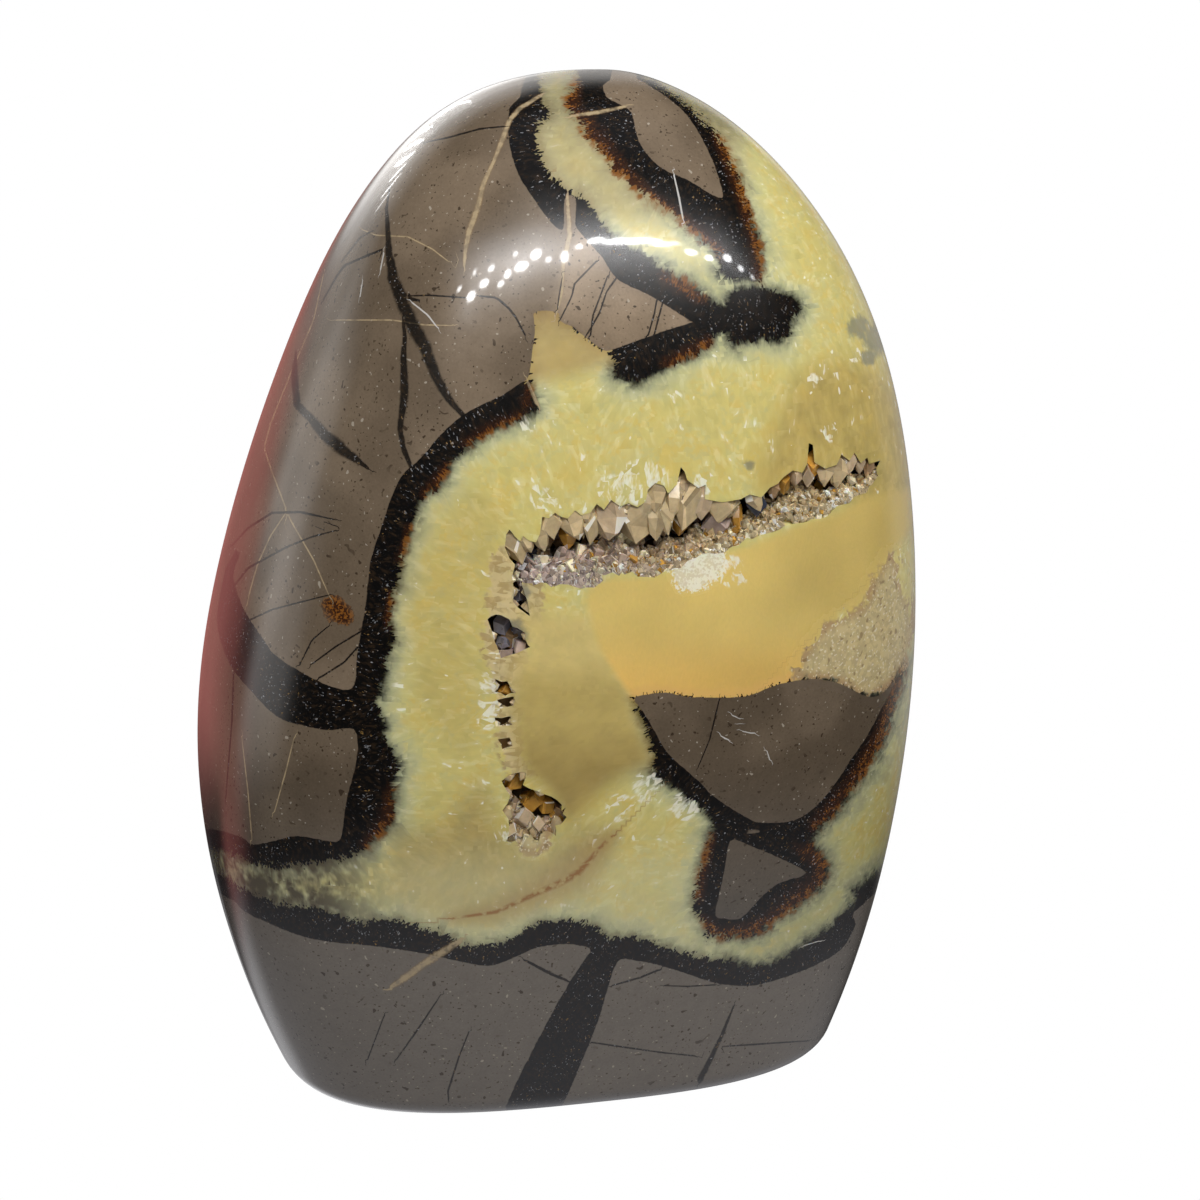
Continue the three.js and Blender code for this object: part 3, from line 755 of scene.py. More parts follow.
# Crystals stand in sheaves: inside a sheaf all point the same way, one of eight.
SHEAF_TURN = math.pi / 8
SHEAF_SPREAD = 0.28
drawn_cos, drawn_sin = fibre_ways(plan)
sheaf = np.arctan2(drawn_sin, drawn_cos) / 2
sheaf += SHEAF_SPREAD * np.sin(plan[:, 0] * 0.9 + 1.7 * np.sin(plan[:, 1] * 0.6)) * np.cos(plan[:, 1] * 1.1)
sheaf = np.round(sheaf / SHEAF_TURN) * SHEAF_TURN
drawn_way = np.stack([np.cos(sheaf), np.zeros(len(sheaf)), np.sin(sheaf)], axis=1)
sheet_way = CELL_HEARTS[own] - CELL_HEARTS[other]
sheet_way = np.stack([sheet_way @ plan_across, -(sheet_way @ to_eye), sheet_way @ plan_up], axis=1)
sheet_way /= np.linalg.norm(sheet_way, axis=1)[:, None]
fibre_way = np.where((behind > 0.5)[:, None], sheet_way, drawn_way)
face_starts = numbers_of(stone.data.polygons, "loop_start")
first_corner = numbers_of(stone.data.loops, "vertex_index")[face_starts]


def keep_vectors(mesh, name, vectors, domain="POINT"):
    """Stores three numbers on every vertex or face, for the materials to read."""
    attribute = mesh.attributes.new(name, "FLOAT_VECTOR", domain)
    attribute.data.foreach_set("vector", np.asarray(vectors, dtype=np.float32).ravel())


keep_vectors(stone.data, "fibre_way", fibre_way[first_corner], "FACE")

rust = 1.6 - np.abs(line_nearness(plan, RUST_STREAKS)[0])
rust = np.clip(rust, 0, 1) * (1 - behind)
rust_places = ease(np.sin(wave[:, 0] * 3.1 + wave[:, 2] * 2.3), 0, 0.8)
network_rust = np.clip(1.2 - np.abs(network_calcite) / 0.8, 0, 1) * rust_places
rust = np.maximum(rust, behind * network_rust)
rust_spot = np.clip(1.5 - np.abs(line_nearness(plan, [RUST_SPOT])[0]), 0, 1) * (1 - behind)

dark_field, dark_clear = crack_fields(DARK_VEINS)
tan_field, tan_clear = crack_fields(TAN_VEINS)
neighbour_field, neighbour_clear = crack_fields(NEIGHBOUR_VEINS)
scratch_field, scratch_clear = crack_fields(WHITE_SCRATCHES)
red_field, _ = crack_fields([RED_VEIN])
golden = np.maximum(patch(GOLDEN_PATCH, 2.5), 0.45 * patch(WARM_PATCH, 3.0))
sandy = np.maximum(patch(SANDY_PATCH, 2.0), spots(SANDY_SPOTS))
stone_tone = stone_tone * (1 + 0.65 * patch(LIGHT_STONE, 1.5))
BACK_TONE = 0.9
stone_tone = stone_tone * (1 - behind) + behind * BACK_TONE
for name, columns in (
        ("borders", (stone_field, calcite_field, behind)),
        ("lines", (dark_field, tan_field, scratch_field)),
        ("more_lines", (neighbour_field, red_field, patch(TONGUE_PATCH, 1.5))),
        ("line_gaps", (dark_clear, tan_clear, neighbour_clear)),
        ("hollow", (depth, scratch_clear, patch(DUSKY_PATCH, 2.5))),
        ("tints", (patch(HONEY_PATCH, 0.6), patch(OLIVE_PATCH, 1.8), sandy)),
        ("warmer", (golden, patch(LIP_PATCH, 1.3), stone_tone)),
        ("stains", (rust, rust_spot, np.zeros_like(rust))),
        ("clouds", (patch(WHITE_PATCH, 1.0), spots(CLOUDY_SPOTS), spots(BLUE_SPOTS)))):
    keep_vectors(stone.data, name, np.stack(columns, axis=1))

# ----------------------------------------------------------------------------------------------
# The polish: one look for the whole veined face, worked out in millimetres on the plan's axes. It
# reads the borders and stains kept on the vertices, roughs their edges up with crystal fibres, and
# goes into two materials: clear-hearted calcite, and dense limestone with its black aragonite.
# ----------------------------------------------------------------------------------------------
BLACK = (0.0040, 0.0034, 0.0030)
BLACK_BROWN = (0.024, 0.014, 0.007)
BLACK_GLINT = (0.34, 0.35, 0.37)
RUST_DARK = (0.045, 0.014, 0.004)
NEEDLE_GOLD = (0.260, 0.150, 0.040)
RUST_BRIGHT = (0.230, 0.082, 0.011)
STONE_BROWN = (0.200, 0.148, 0.098)
STONE_UMBER = (0.140, 0.102, 0.066)
FLOOR_REFLECTION_GREY = (0.176, 0.151, 0.124)
STONE_DARK_SPECK = (0.036, 0.022, 0.012)
STONE_LIGHT_SPECK = (0.52, 0.46, 0.37)
CALCITE_STEPS = [
    (-0.4, (0.006, 0.005, 0.004)), (0.0, (0.035, 0.034, 0.020)), (0.35, (0.170, 0.172, 0.110)),
    (0.9, (0.400, 0.405, 0.235)), (1.8, (0.580, 0.560, 0.300)), (3.2, (0.700, 0.630, 0.245)),
    (5.0, (0.700, 0.590, 0.200)),
]
STEPS_START = -1.0
STEPS_LENGTH = 6.0
CALCITE_WARM = (0.600, 0.450, 0.120)
CALCITE_GREEN = (0.540, 0.540, 0.270)
CALCITE_PALE = (0.740, 0.710, 0.420)
CALCITE_CREAM = (0.430, 0.360, 0.185)
CALCITE_FLECK = (0.900, 0.880, 0.730)
TONGUE_TAN = (0.465, 0.340, 0.130)
TONGUE_TOP = (0.330, 0.215, 0.075)
DUSKY = (0.420, 0.315, 0.115)
GOLDEN = (0.480, 0.350, 0.105)
LIP_TAN = (0.660, 0.520, 0.290)
LIP_SHADE = (0.400, 0.270, 0.130)
HONEY_TOP = (0.740, 0.550, 0.170)
HONEY_FOOT_GLOW = (0.790, 0.510, 0.138)
HONEY_RIM = (0.780, 0.480, 0.150)
OLIVE = (0.530, 0.405, 0.135)
OLIVE_LIGHT = (0.690, 0.545, 0.205)
OLIVE_DARK = (0.410, 0.300, 0.098)
SANDY_LIGHT = (0.620, 0.500, 0.250)
SANDY_DARK = (0.500, 0.400, 0.205)
SANDY_RIM = (0.430, 0.275, 0.130)
SANDY_SPARK = (0.760, 0.680, 0.480)
SANDY_SPOT = (0.200, 0.120, 0.050)
WHITE_BREAK = (0.920, 0.880, 0.700)
BLUE_SHADE = (0.150, 0.165, 0.150)
STRIP_SHADE = (0.105, 0.086, 0.055)
TAN = (0.450, 0.345, 0.200)
TAN_SHADE = (0.240, 0.140, 0.060)
SCRATCH = (0.640, 0.620, 0.580)
RED_BROWN = (0.340, 0.180, 0.070)
CREVICE_WALL = (0.330, 0.205, 0.080)
CREVICE_DEPTH_SHADE = (0.075, 0.046, 0.025)
# Heights on the stone, up the face plan, at which a colour starts to change and has changed.
FOOT_MIRRORS_FLOOR = (42.0, 14.0)
TONGUE_DARKENS = (87.5, 91.5)
OLIVE_DEEPENS = (53.5, 47.5)
OLIVE_DARKENS = (46.0, 38.0)
HONEY_GLOWS_LOWER = (57.0, 48.0)
LOW_RIGHT_SHADE = (56.0, 34.0)
FOOT_PALES = (33.0, 25.0)
CROWN_CREAMS = (99.0, 104.0)
CROWN_DARKENS = (108.0, 116.0)
STRIP_DARKENS = (36.0, 31.0)
# The same across the stone, from the left to the right or the other way.
SHADED_RIGHT_SIDE = (22.0, 34.0)
RIGHT_OF_FOOT = (26.0, 20.0)
RIGHT_OF_CROWN = (22.0, 26.0)
FAR_LEFT = (-13.0, -27.0)


class Wire:
    """What comes out of a shader node. Wires can be added, taken away and multiplied."""
    def __init__(self, socket):
        self.socket = socket

    def __add__(self, other):
        return calc("ADD", self, other)

    def __mul__(self, other):
        return calc("MULTIPLY", self, other)

    def __rsub__(self, other):
        return calc("SUBTRACT", other, self)

    def __abs__(self):
        return calc("ABSOLUTE", self)

    __radd__ = __add__
    __rmul__ = __mul__


def join(value, socket):
    """Sets an input of a node to a number or a colour, or wires it to another node."""
    if isinstance(value, Wire):
        socket.id_data.links.new(value.socket, socket)
    elif socket.type == "RGBA":
        socket.default_value = (*value, 1)
    else:
        socket.default_value = value


def add_node(tree, kind, inputs, output=0, **settings):
    """Adds a node with its settings and inputs, and gives one of its outputs."""
    made = tree.nodes.new(kind)
    for name, value in settings.items():
        setattr(made, name, value)
    for key, value in inputs.items():
        join(value, made.inputs[key])
    return Wire(made.outputs[output])


def tree_of(*values):
    """The node tree that the wires among some values belong to."""
    return next(value.socket.id_data for value in values if isinstance(value, Wire))


def calc(operation, *numbers):
    return add_node(tree_of(*numbers), "ShaderNodeMath", dict(enumerate(numbers)), operation=operation)


def over(value, low, high):
    """0 below one value, 1 above another, and a smooth rise between them."""
    inputs = {"Value": value, "From Min": low, "From Max": high}
    return add_node(tree_of(value), "ShaderNodeMapRange", inputs, interpolation_type="SMOOTHSTEP")


def mixed(share, first, second, blend="MIX"):
    """The first colour, with a share of the second."""
    tree, inputs = tree_of(share, first, second), {0: share, 6: first, 7: second}
    return add_node(tree, "ShaderNodeMix", inputs, 2, data_type="RGBA", blend_type=blend)


def shaded(color, value):
    """A colour made lighter or darker by a number."""
    grey = add_node(tree_of(value), "ShaderNodeCombineXYZ", {0: value, 1: value, 2: value})
    return mixed(1.0, color, grey, "MULTIPLY")


def three_numbers(vector):
    apart = add_node(tree_of(vector), "ShaderNodeSeparateXYZ", {0: vector})
    return [Wire(number) for number in apart.socket.node.outputs]


def kept(tree, name):
    """The vector kept on the mesh under a name."""
    return add_node(tree, "ShaderNodeAttribute", {}, "Vector", attribute_name=name)


def noise(where, scale, detail=2.0, roughness=0.5):
    inputs = {"Vector": where, "Scale": scale, "Detail": detail, "Roughness": roughness}
    return add_node(tree_of(where), "ShaderNodeTexNoise", inputs)


def cells(where, scale):
    return add_node(tree_of(where), "ShaderNodeTexVoronoi", {"Vector": where, "Scale": scale}, "Color")


def millimetres(tree, turn=(0, 0, 0)):
    """The place on the object in millimetres, on axes of its own or on turned ones."""
    place = add_node(tree, "ShaderNodeTexCoord", {}, "Object")
    inputs = {"Vector": place, "Rotation": turn, "Scale": (MM, MM, MM)}
    return add_node(tree, "ShaderNodeMapping", inputs, vector_type="TEXTURE")


def vectors(operation, inputs, output=0):
    return add_node(look, "ShaderNodeVectorMath", inputs, output, operation=operation)


look = bpy.data.node_groups.new("veined stone", "ShaderNodeTree")
for name, kind in (("Color", "Color"), ("Roughness", "Float"), ("Relief", "Float")):
    look.interface.new_socket(name, in_out="OUTPUT", socket_type="NodeSocket" + kind)
plan_axes = Matrix([[plan_across[i], -to_eye[i], plan_up[i]] for i in range(3)])
spot = millimetres(look, plan_axes.to_euler())
stone_edge, calcite_edge, turned_away = three_numbers(kept(look, "borders"))
dark_line, tan_line, scratch_line = three_numbers(kept(look, "lines"))
neighbour_line, red_line, tongue = three_numbers(kept(look, "more_lines"))
dark_gap, tan_gap, neighbour_gap = three_numbers(kept(look, "line_gaps"))
below, scratch_gap, dusky = three_numbers(kept(look, "hollow"))
honey, olive, sandy = three_numbers(kept(look, "tints"))
golden, lip, tone = three_numbers(kept(look, "warmer"))
white_break, cloudy, bluish = three_numbers(kept(look, "clouds"))
rust_near, rust_mark, _ = three_numbers(kept(look, "stains"))
sideways, _, upwards = three_numbers(spot)

fibre_way = kept(look, "fibre_way")
run_along = vectors("DOT_PRODUCT", {0: spot, 1: fibre_way}, "Value")
run_along = vectors("SCALE", {0: fibre_way, "Scale": run_along})


def along_fibres(stretch):
    """Places drawn out along the crystals of the sheaf."""
    pulled = vectors("SCALE", {0: run_along, "Scale": 1 / stretch - 1})
    return vectors("ADD", {0: spot, 1: pulled})


fibres = noise(along_fibres(3.0), 3.0, 1.0, 0.6)
needles = noise(along_fibres(4.0), 4.5, 1.0, 0.5)
teeth = cells(along_fibres(2.3), 1.5)
grains = cells(along_fibres(1.9), 0.42)
streaks = noise(along_fibres(3.2), 0.95, 2.0, 0.55)
chips = noise(along_fibres(2.2), 1.5, 0.0)
broad = noise(spot, 0.09, 1.0)
patchy = noise(spot, 0.32, 2.0, 0.55)
mottle = noise(spot, 0.9, 2.0, 0.6)
gritty = noise(spot, 3.5, 1.0, 0.6)
coarse_dots = noise(spot, 1.5, 0.0)
fine_dots = noise(spot, 3.1, 0.0)


def swing(value, amount):
    """A texture turned into a swing about zero."""
    return calc("SUBTRACT", value, 0.5) * amount


def larger(first, second):
    return calc("MAXIMUM", first, second)


def torn(cover, raggedness, low=0.46, high=0.60):
    """A soft patch given a torn edge by textures, which act only where the patch fades."""
    fading = cover * (1.0 - cover) * 4.0
    return over(cover + raggedness * fading, low, high)


# where each mineral lies
wobble = swing(mottle, 1.1)
tooth_reach = calcite_edge + wobble * 0.7 + swing(teeth, 0.9) + swing(needles, 1.8)
calcite_reach = calcite_edge + wobble * 1.5 + swing(grains, 0.7) + swing(needles, 0.5)
is_stone = over(stone_edge + wobble * 0.22, -0.06, 0.06)

# limestone: brown-grey, cloudy, with short dark and pale specks, and a greyer foot that is painted reflection
# of the pale floor
limestone = mixed(over(broad, 0.38, 0.62), STONE_UMBER, STONE_BROWN)
limestone = mixed(over(upwards, *FOOT_MIRRORS_FLOOR), limestone, FLOOR_REFLECTION_GREY)
limestone = shaded(limestone, tone * (0.64 + (patchy + mottle + gritty * 1.5) * 0.21))
dark_specks = larger(over(coarse_dots, 0.245, 0.205), over(fine_dots, 0.255, 0.215))
speckled = 0.3 + over(patchy, 0.36, 0.56) * 0.7
limestone = mixed(dark_specks * 0.85 * speckled, limestone, STONE_DARK_SPECK)
pale_specks = larger(over(coarse_dots, 0.830, 0.850), over(fine_dots, 0.805, 0.830))
limestone = mixed(pale_specks * 0.55, limestone, STONE_LIGHT_SPECK)
rust_tint = mixed(over(gritty, 0.45, 0.6), RUST_DARK, RUST_BRIGHT)
limestone = mixed(rust_mark * torn(rust_mark, swing(mottle, 1.6)), limestone, rust_tint)

# black aragonite: brown streaks, bright needle ends that are partly painted glints, and rust where the lining
# meets the calcite
aragonite = mixed(over(fibres, 0.48, 0.70) * 0.9, BLACK, BLACK_BROWN)
to_calcite = over(calcite_edge + swing(needles, 3.0) + swing(mottle, 2.0), -2.6, -0.1)
lining_rust = rust_near * 0.85 * to_calcite
aragonite = mixed(calc("POWER", lining_rust, 0.6), aragonite, RUST_DARK)
rust_glow = over(lining_rust + swing(needles, 1.6), 0.50, 1.0) * over(mottle, 0.36, 0.62)
aragonite = mixed(rust_glow, aragonite, RUST_BRIGHT)
in_lining = over(patchy + swing(mottle, 1.0), 0.34, 0.60)
# painted glints: the needle ends are made grey-white sparkles on the black, some of them gold
needle_ends_and_glints = over(needles, 0.60, 0.68) * over(gritty, 0.46, 0.60) * in_lining
needle_tint = mixed(over(mottle, 0.52, 0.62), BLACK_GLINT, NEEDLE_GOLD)
aragonite = mixed(needle_ends_and_glints * 0.8, aragonite, needle_tint)

# calcite: dark green-grey against its lining, then pale yellow grains that warm towards the vug
step_place = calc("DIVIDE", calcite_reach + -STEPS_START, STEPS_LENGTH)
calcite = add_node(look, "ShaderNodeValToRGB", {0: step_place})
ramp = calcite.socket.node.color_ramp
ramp.interpolation = "B_SPLINE"
while len(ramp.elements) < len(CALCITE_STEPS):
    ramp.elements.new(0.5)
for element, (reach_in, tint) in zip(ramp.elements, CALCITE_STEPS):
    element.position = (reach_in - STEPS_START) / STEPS_LENGTH
    element.color = (*tint, 1)
warm_grains = over(calcite_reach, 0.8, 3.2) * over(patchy + swing(grains, 0.3), 0.44, 0.66)
calcite = mixed(warm_grains * 0.65, calcite, CALCITE_WARM)
green_grains = over(calcite_reach, 0.8, 2.0) * over(mottle + swing(grains, 0.5), 0.52, 0.72)
calcite = mixed(green_grains * 0.40, calcite, CALCITE_GREEN)
wisps = over(calcite_reach, 0.3, 1.6) * over(streaks + swing(teeth, 0.25), 0.52, 0.70)
calcite = mixed(wisps * 0.30, calcite, CALCITE_PALE)
calcite = mixed(dusky * 0.75, calcite, shaded(DUSKY, 0.75 + streaks * 0.5))
tongue_tint = mixed(over(upwards + swing(mottle, 2.0), *TONGUE_DARKENS), TONGUE_TAN, TONGUE_TOP)
calcite = mixed(tongue * 0.88, calcite, shaded(tongue_tint, 0.80 + patchy * 0.45))
calcite = mixed(golden * 0.8, calcite, shaded(GOLDEN, 0.8 + streaks * 0.4))
lip_tint = mixed(over(teeth + swing(mottle, 1.2), 0.30, 0.80), LIP_TAN, LIP_SHADE)
lip_share = torn(lip, swing(teeth, 0.9) + swing(mottle, 1.2), 0.30, 0.75)
calcite = mixed(lip_share * 0.75, calcite, lip_tint)
olive_tint = mixed(over(upwards, *OLIVE_DEEPENS), OLIVE_LIGHT, OLIVE)
olive_tint = mixed(over(upwards, *OLIVE_DARKENS), olive_tint, OLIVE_DARK)
calcite = mixed(olive, calcite, shaded(olive_tint, 1.0 + swing(patchy, 0.25) + swing(streaks, 0.2)))
# the honey calcite turns orange towards its foot: partly its own colour, partly a painted glow of light
# shining through it
honey_tint = mixed(over(upwards, *HONEY_GLOWS_LOWER), HONEY_TOP, HONEY_FOOT_GLOW)
# painted shade: the honey calcite is made darker towards the right side of the stone, where it turns from the
# light
shade_at_the_right = over(sideways, *SHADED_RIGHT_SIDE)
honey_shade = 1.0 + shade_at_the_right * -0.13 + swing(broad, 0.4) + swing(needles, 0.10)
calcite = mixed(honey, calcite, shaded(honey_tint, honey_shade))
honey_rim = honey * (1.0 - over(calcite_edge + swing(mottle, 0.8), 0.5, 1.5))
calcite = mixed(honey_rim * 0.7, calcite, HONEY_RIM)
calm = 1.0 - larger(larger(honey, olive), tongue) * 0.85
brightness = swing(grains, 0.17) + swing(patchy, 0.50) + swing(teeth, 0.07) + swing(streaks, 0.18)
calcite = shaded(calcite, 1.0 + calm * brightness)
fleck = calm * over(calcite_reach, 0.8, 2.0) * over(streaks, 0.68, 0.74)
shard = over(chips, 0.81, 0.84) * over(patchy + swing(mottle, 0.8), 0.42, 0.58)
shard = shard * over(calcite_reach, 0.5, 1.1)
fleck = larger(fleck, shard) * over(calm, 0.4, 0.9)
cloud = torn(cloudy, swing(teeth, 1.5), 0.3, 0.7) * over(fibres + swing(teeth, 0.9), 0.35, 0.85)
calcite = mixed(larger(fleck, cloud) * 0.8, calcite, CALCITE_FLECK)
sand = mixed(over(mottle + swing(teeth, 0.5), 0.36, 0.64), SANDY_DARK, SANDY_LIGHT)
sand = mixed((1.0 - over(sandy, 0.60, 0.98)) * 0.85, sand, SANDY_RIM)
sand = mixed(over(fine_dots, 0.64, 0.72) * 0.8, sand, SANDY_SPARK)
sand = mixed(over(coarse_dots, 0.30, 0.24) * 0.6, sand, SANDY_SPOT)
calcite = mixed(torn(sandy, swing(grains, 0.9) + swing(mottle, 1.2), 0.35, 0.70), calcite, sand)
calcite = mixed(torn(bluish, swing(mottle, 1.2), 0.2, 0.9) * 0.65, calcite, BLUE_SHADE)
white_tint = mixed(over(mottle + swing(gritty, 0.9), 0.40, 0.58), SANDY_SPARK, WHITE_BREAK)
white_share = torn(white_break, swing(mottle, 1.6) + swing(gritty, 2.0), 0.35, 0.75)
calcite = mixed(white_share * 0.9, calcite, white_tint)
# painted shade: the calcite is made darker at the lower right, where the stone faces down and away from the
# light
calcite = shaded(calcite, 1.0 + shade_at_the_right * over(upwards, *LOW_RIGHT_SHADE) * -0.18)
pale_foot = over(upwards, *FOOT_PALES) * over(sideways, *RIGHT_OF_FOOT)
calcite = mixed(pale_foot * 0.35, calcite, CALCITE_PALE)
cream = over(upwards, *CROWN_CREAMS) * (1.0 - over(sideways, *RIGHT_OF_CROWN))
crown_shade = 0.8 + over(upwards, *CROWN_DARKENS) * -0.35
calcite = mixed(cream * 0.75, calcite, shaded(CALCITE_CREAM, crown_shade + streaks * 0.4))
far_left = over(sideways, *FAR_LEFT) * over(upwards, *STRIP_DARKENS) * (1.0 - turned_away)
calcite = mixed(far_left * over(patchy + swing(streaks, 0.6), 0.80, 0.40), calcite, STRIP_SHADE)
red_halo = 1.0 - over(abs(red_line), 1.0, 10.0)
calcite = mixed(red_halo * 0.38, calcite, RED_BROWN)
red_share = 1.0 - over(abs(red_line) + swing(mottle, 1.2), 0.3, 1.5)
calcite = mixed(red_share * over(mottle, 0.36, 0.56), calcite, RED_BROWN)
edge_rust = rust_near * (1.0 - over(calcite_reach, 0.0, 1.1))
calcite = mixed(edge_rust * over(streaks, 0.42, 0.60), calcite, RUST_BRIGHT)
# the crevice walls turn amber-brown below the face, then darker further down: painted shade deep in the
# crevices
calcite = mixed(over(below, 0.3, 2.0), calcite, CREVICE_WALL)
calcite = mixed(over(below, 2.5, 6.0), calcite, CREVICE_DEPTH_SHADE)


def not_a_change_of_sides(gap):
    """1 on a crack, 0 where its signed distance jumps between two far-off cracks."""
    return 1.0 - over(gap, 0.70, 0.95)


# laid together, with the fine cracks on top
color = mixed(over(tooth_reach, -0.22, -0.04), aragonite, calcite)
color = mixed(is_stone, color, limestone)
tan_share = (1.0 - over(abs(tan_line) + gritty * 0.6, 0.65, 1.35)) * not_a_change_of_sides(tan_gap)
tan_tint = mixed(over(abs(tan_line) + swing(gritty, 0.6), 0.35, 0.9), TAN, TAN_SHADE)
color = mixed(tan_share * (0.40 + over(mottle, 0.34, 0.58) * 0.5), color, tan_tint)
any_crack = calc("MINIMUM", abs(dark_line) + over(dark_gap, 0.70, 0.95) * 9.0,
                 abs(neighbour_line) + over(neighbour_gap, 0.70, 0.95) * 9.0)
dark_share = 1.0 - over(any_crack + mottle * 0.5, 0.75, 1.25)
color = mixed(dark_share * 0.92, color, aragonite)
scratch_share = 1.0 - over(abs(scratch_line), 0.7, 1.3)
color = mixed(scratch_share * (1.0 - over(scratch_gap, 0.62, 0.85)) * 0.8, color, SCRATCH)

rough = 0.20 + mottle * 0.08 + larger(sandy, white_break) * 0.25 + over(below, 0.1, 0.6) * 0.25
result = look.nodes.new("NodeGroupOutput")
join(color, result.inputs["Color"])
join(rough, result.inputs["Roughness"])
join(noise(spot, 0.35, 0.0), result.inputs["Relief"])


def mineral(name, ior, subsurface, scatter_ratio, scatter_scale):
    """A material with its own depth of light, and its shader."""
    made = bpy.data.materials.new(name)
    made.use_nodes = True
    shader = made.node_tree.nodes["Principled BSDF"]
    shader.inputs["IOR"].default_value = ior
    shader.inputs["Subsurface Weight"].default_value = subsurface
    shader.inputs["Subsurface Radius"].default_value = scatter_ratio
    shader.inputs["Subsurface Scale"].default_value = scatter_scale * MM
    return made, shader


def polished(name, subsurface):
    """A polished mineral: the shared look under a thin, clear gloss."""
    made, shader = mineral(
        name, ior=1.5, subsurface=subsurface, scatter_ratio=(1.0, 0.62, 0.18), scatter_scale=2.5)
    veined = made.node_tree.nodes.new("ShaderNodeGroup")
    veined.node_tree = look
    join(Wire(veined.outputs["Color"]), shader.inputs["Base Color"])
    join(Wire(veined.outputs["Roughness"]), shader.inputs["Roughness"])
    relief = {"Strength": 0.5, "Distance": 0.02 * MM, "Height": Wire(veined.outputs["Relief"])}
    join(add_node(made.node_tree, "ShaderNodeBump", relief), shader.inputs["Normal"])
    shader.inputs["Coat Weight"].default_value = 0.6
    shader.inputs["Coat Roughness"].default_value = 0.05
    return made


stone.data.materials.append(polished("polished limestone", subsurface=0.0))
stone.data.materials.append(polished("polished calcite", subsurface=0.25))
CALCITE_STARTS = -0.7           # signed distances from the borders, in millimetres
STONE_STARTS = 0.4
is_calcite = (calcite_field > CALCITE_STARTS) & (stone_field < STONE_STARTS)
stone.data.polygons.foreach_set("material_index", is_calcite[first_corner].astype(np.int32))
deselect_all()
stone.select_set(True)
bpy.context.view_layer.objects.active = stone
bpy.ops.object.shade_smooth_by_angle(angle=math.radians(35))
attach(stone, "root")
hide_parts("nodule")

# ----------------------------------------------------------------------------------------------
# The vug crystals: blunt calcite teeth and blocks, a few millimetres long, that hang from the upper
# lip of the vug and stand round its holes, rooted in the stone that they grew out of. Two shapes are
# modelled; every crystal is one of them, set at its own size, turn and tint.
# ----------------------------------------------------------------------------------------------
TOOTH_SIDES = 6
TOOTH_STEPS = 4
TOOTH_RINGS = [(1.0, 0.0), (0.80, 0.27), (0.46, 0.50), (0.0, 0.40), (-0.1, 0.0)]      # lift, spread
TOOTH_ZIGZAG = [0.0, 0.05, 0.10, 0.0, 0.0]
BLOCK_BEVEL = 0.07
BLOCK_HALF_SIZE = (0.5, 0.5, 0.6)
BLOCK_LIFT = (0, 0, 0.4)

deselect_all()
bpy.ops.mesh.primitive_uv_sphere_add(segments=TOOTH_SIDES, ring_count=TOOTH_STEPS, radius=1)
tooth = bpy.context.object
ball = vertex_places(tooth)
ring = np.rint(np.arccos(np.clip(ball[:, 2], -1, 1)) * TOOTH_STEPS / math.pi).astype(int)
turn = np.arctan2(ball[:, 1], ball[:, 0])
lifts, spreads = np.array(TOOTH_RINGS)[ring].T
lifts += np.array(TOOTH_ZIGZAG)[ring] * np.cos(TOOTH_SIDES / 2 * turn)
put_vertices(tooth, np.stack([spreads * np.cos(turn), spreads * np.sin(turn), lifts], axis=1))

deselect_all()
bpy.ops.mesh.primitive_cube_add(size=1)
block = bpy.context.object
bpy.ops.object.mode_set(mode="EDIT")
bpy.ops.mesh.select_all(action="SELECT")
bpy.ops.mesh.bevel(offset=BLOCK_BEVEL, segments=1, affect="EDGES")
bpy.ops.object.mode_set(mode="OBJECT")
corner_places = vertex_places(block)
on_corner = Vector((1, 1, 1)).rotation_difference(Vector((0, 0, 1))).to_matrix()
corner_places = corner_places @ np.array(on_corner).T
corner_places /= np.abs(corner_places).max(axis=0)
put_vertices(block, corner_places * BLOCK_HALF_SIZE + BLOCK_LIFT)


def shape_arrays(mesh_object):
    """The vertices and faces of a modelled shape, which is then put away."""
    arrays = vertex_places(mesh_object), [tuple(face.vertices) for face in mesh_object.data.polygons]
    bpy.data.objects.remove(mesh_object, do_unlink=True)
    return arrays


TOOTH = shape_arrays(tooth)
TOOTH[1].sort()     # Blender lists the faces of a new ball in a different order each time
BLOCK = shape_arrays(block)

BEIGE = (0.48, 0.365, 0.205)
PINKISH = (0.49, 0.365, 0.230)
PALE = (0.66, 0.57, 0.38)
BROWN = (0.30, 0.190, 0.100)
AMBER = (0.40, 0.205, 0.034)
LILAC = (0.36, 0.275, 0.235)
DUSK = (0.080, 0.055, 0.045)
INKY = (0.055, 0.065, 0.095)
SLATE = (0.190, 0.185, 0.215)
WHITE = (0.85, 0.82, 0.74)


def in_the_vug(across, up, below):
    """The place at a depth below the polished face, along the sight line through a plan point."""
    return eye + sight_line(across, up) * (face_distance(across, up) + below)


FLUSH = 0.06        # crystals that reached the face were ground down with it
GLINTING_FACETS = 0.05
chance = np.random.default_rng(7)


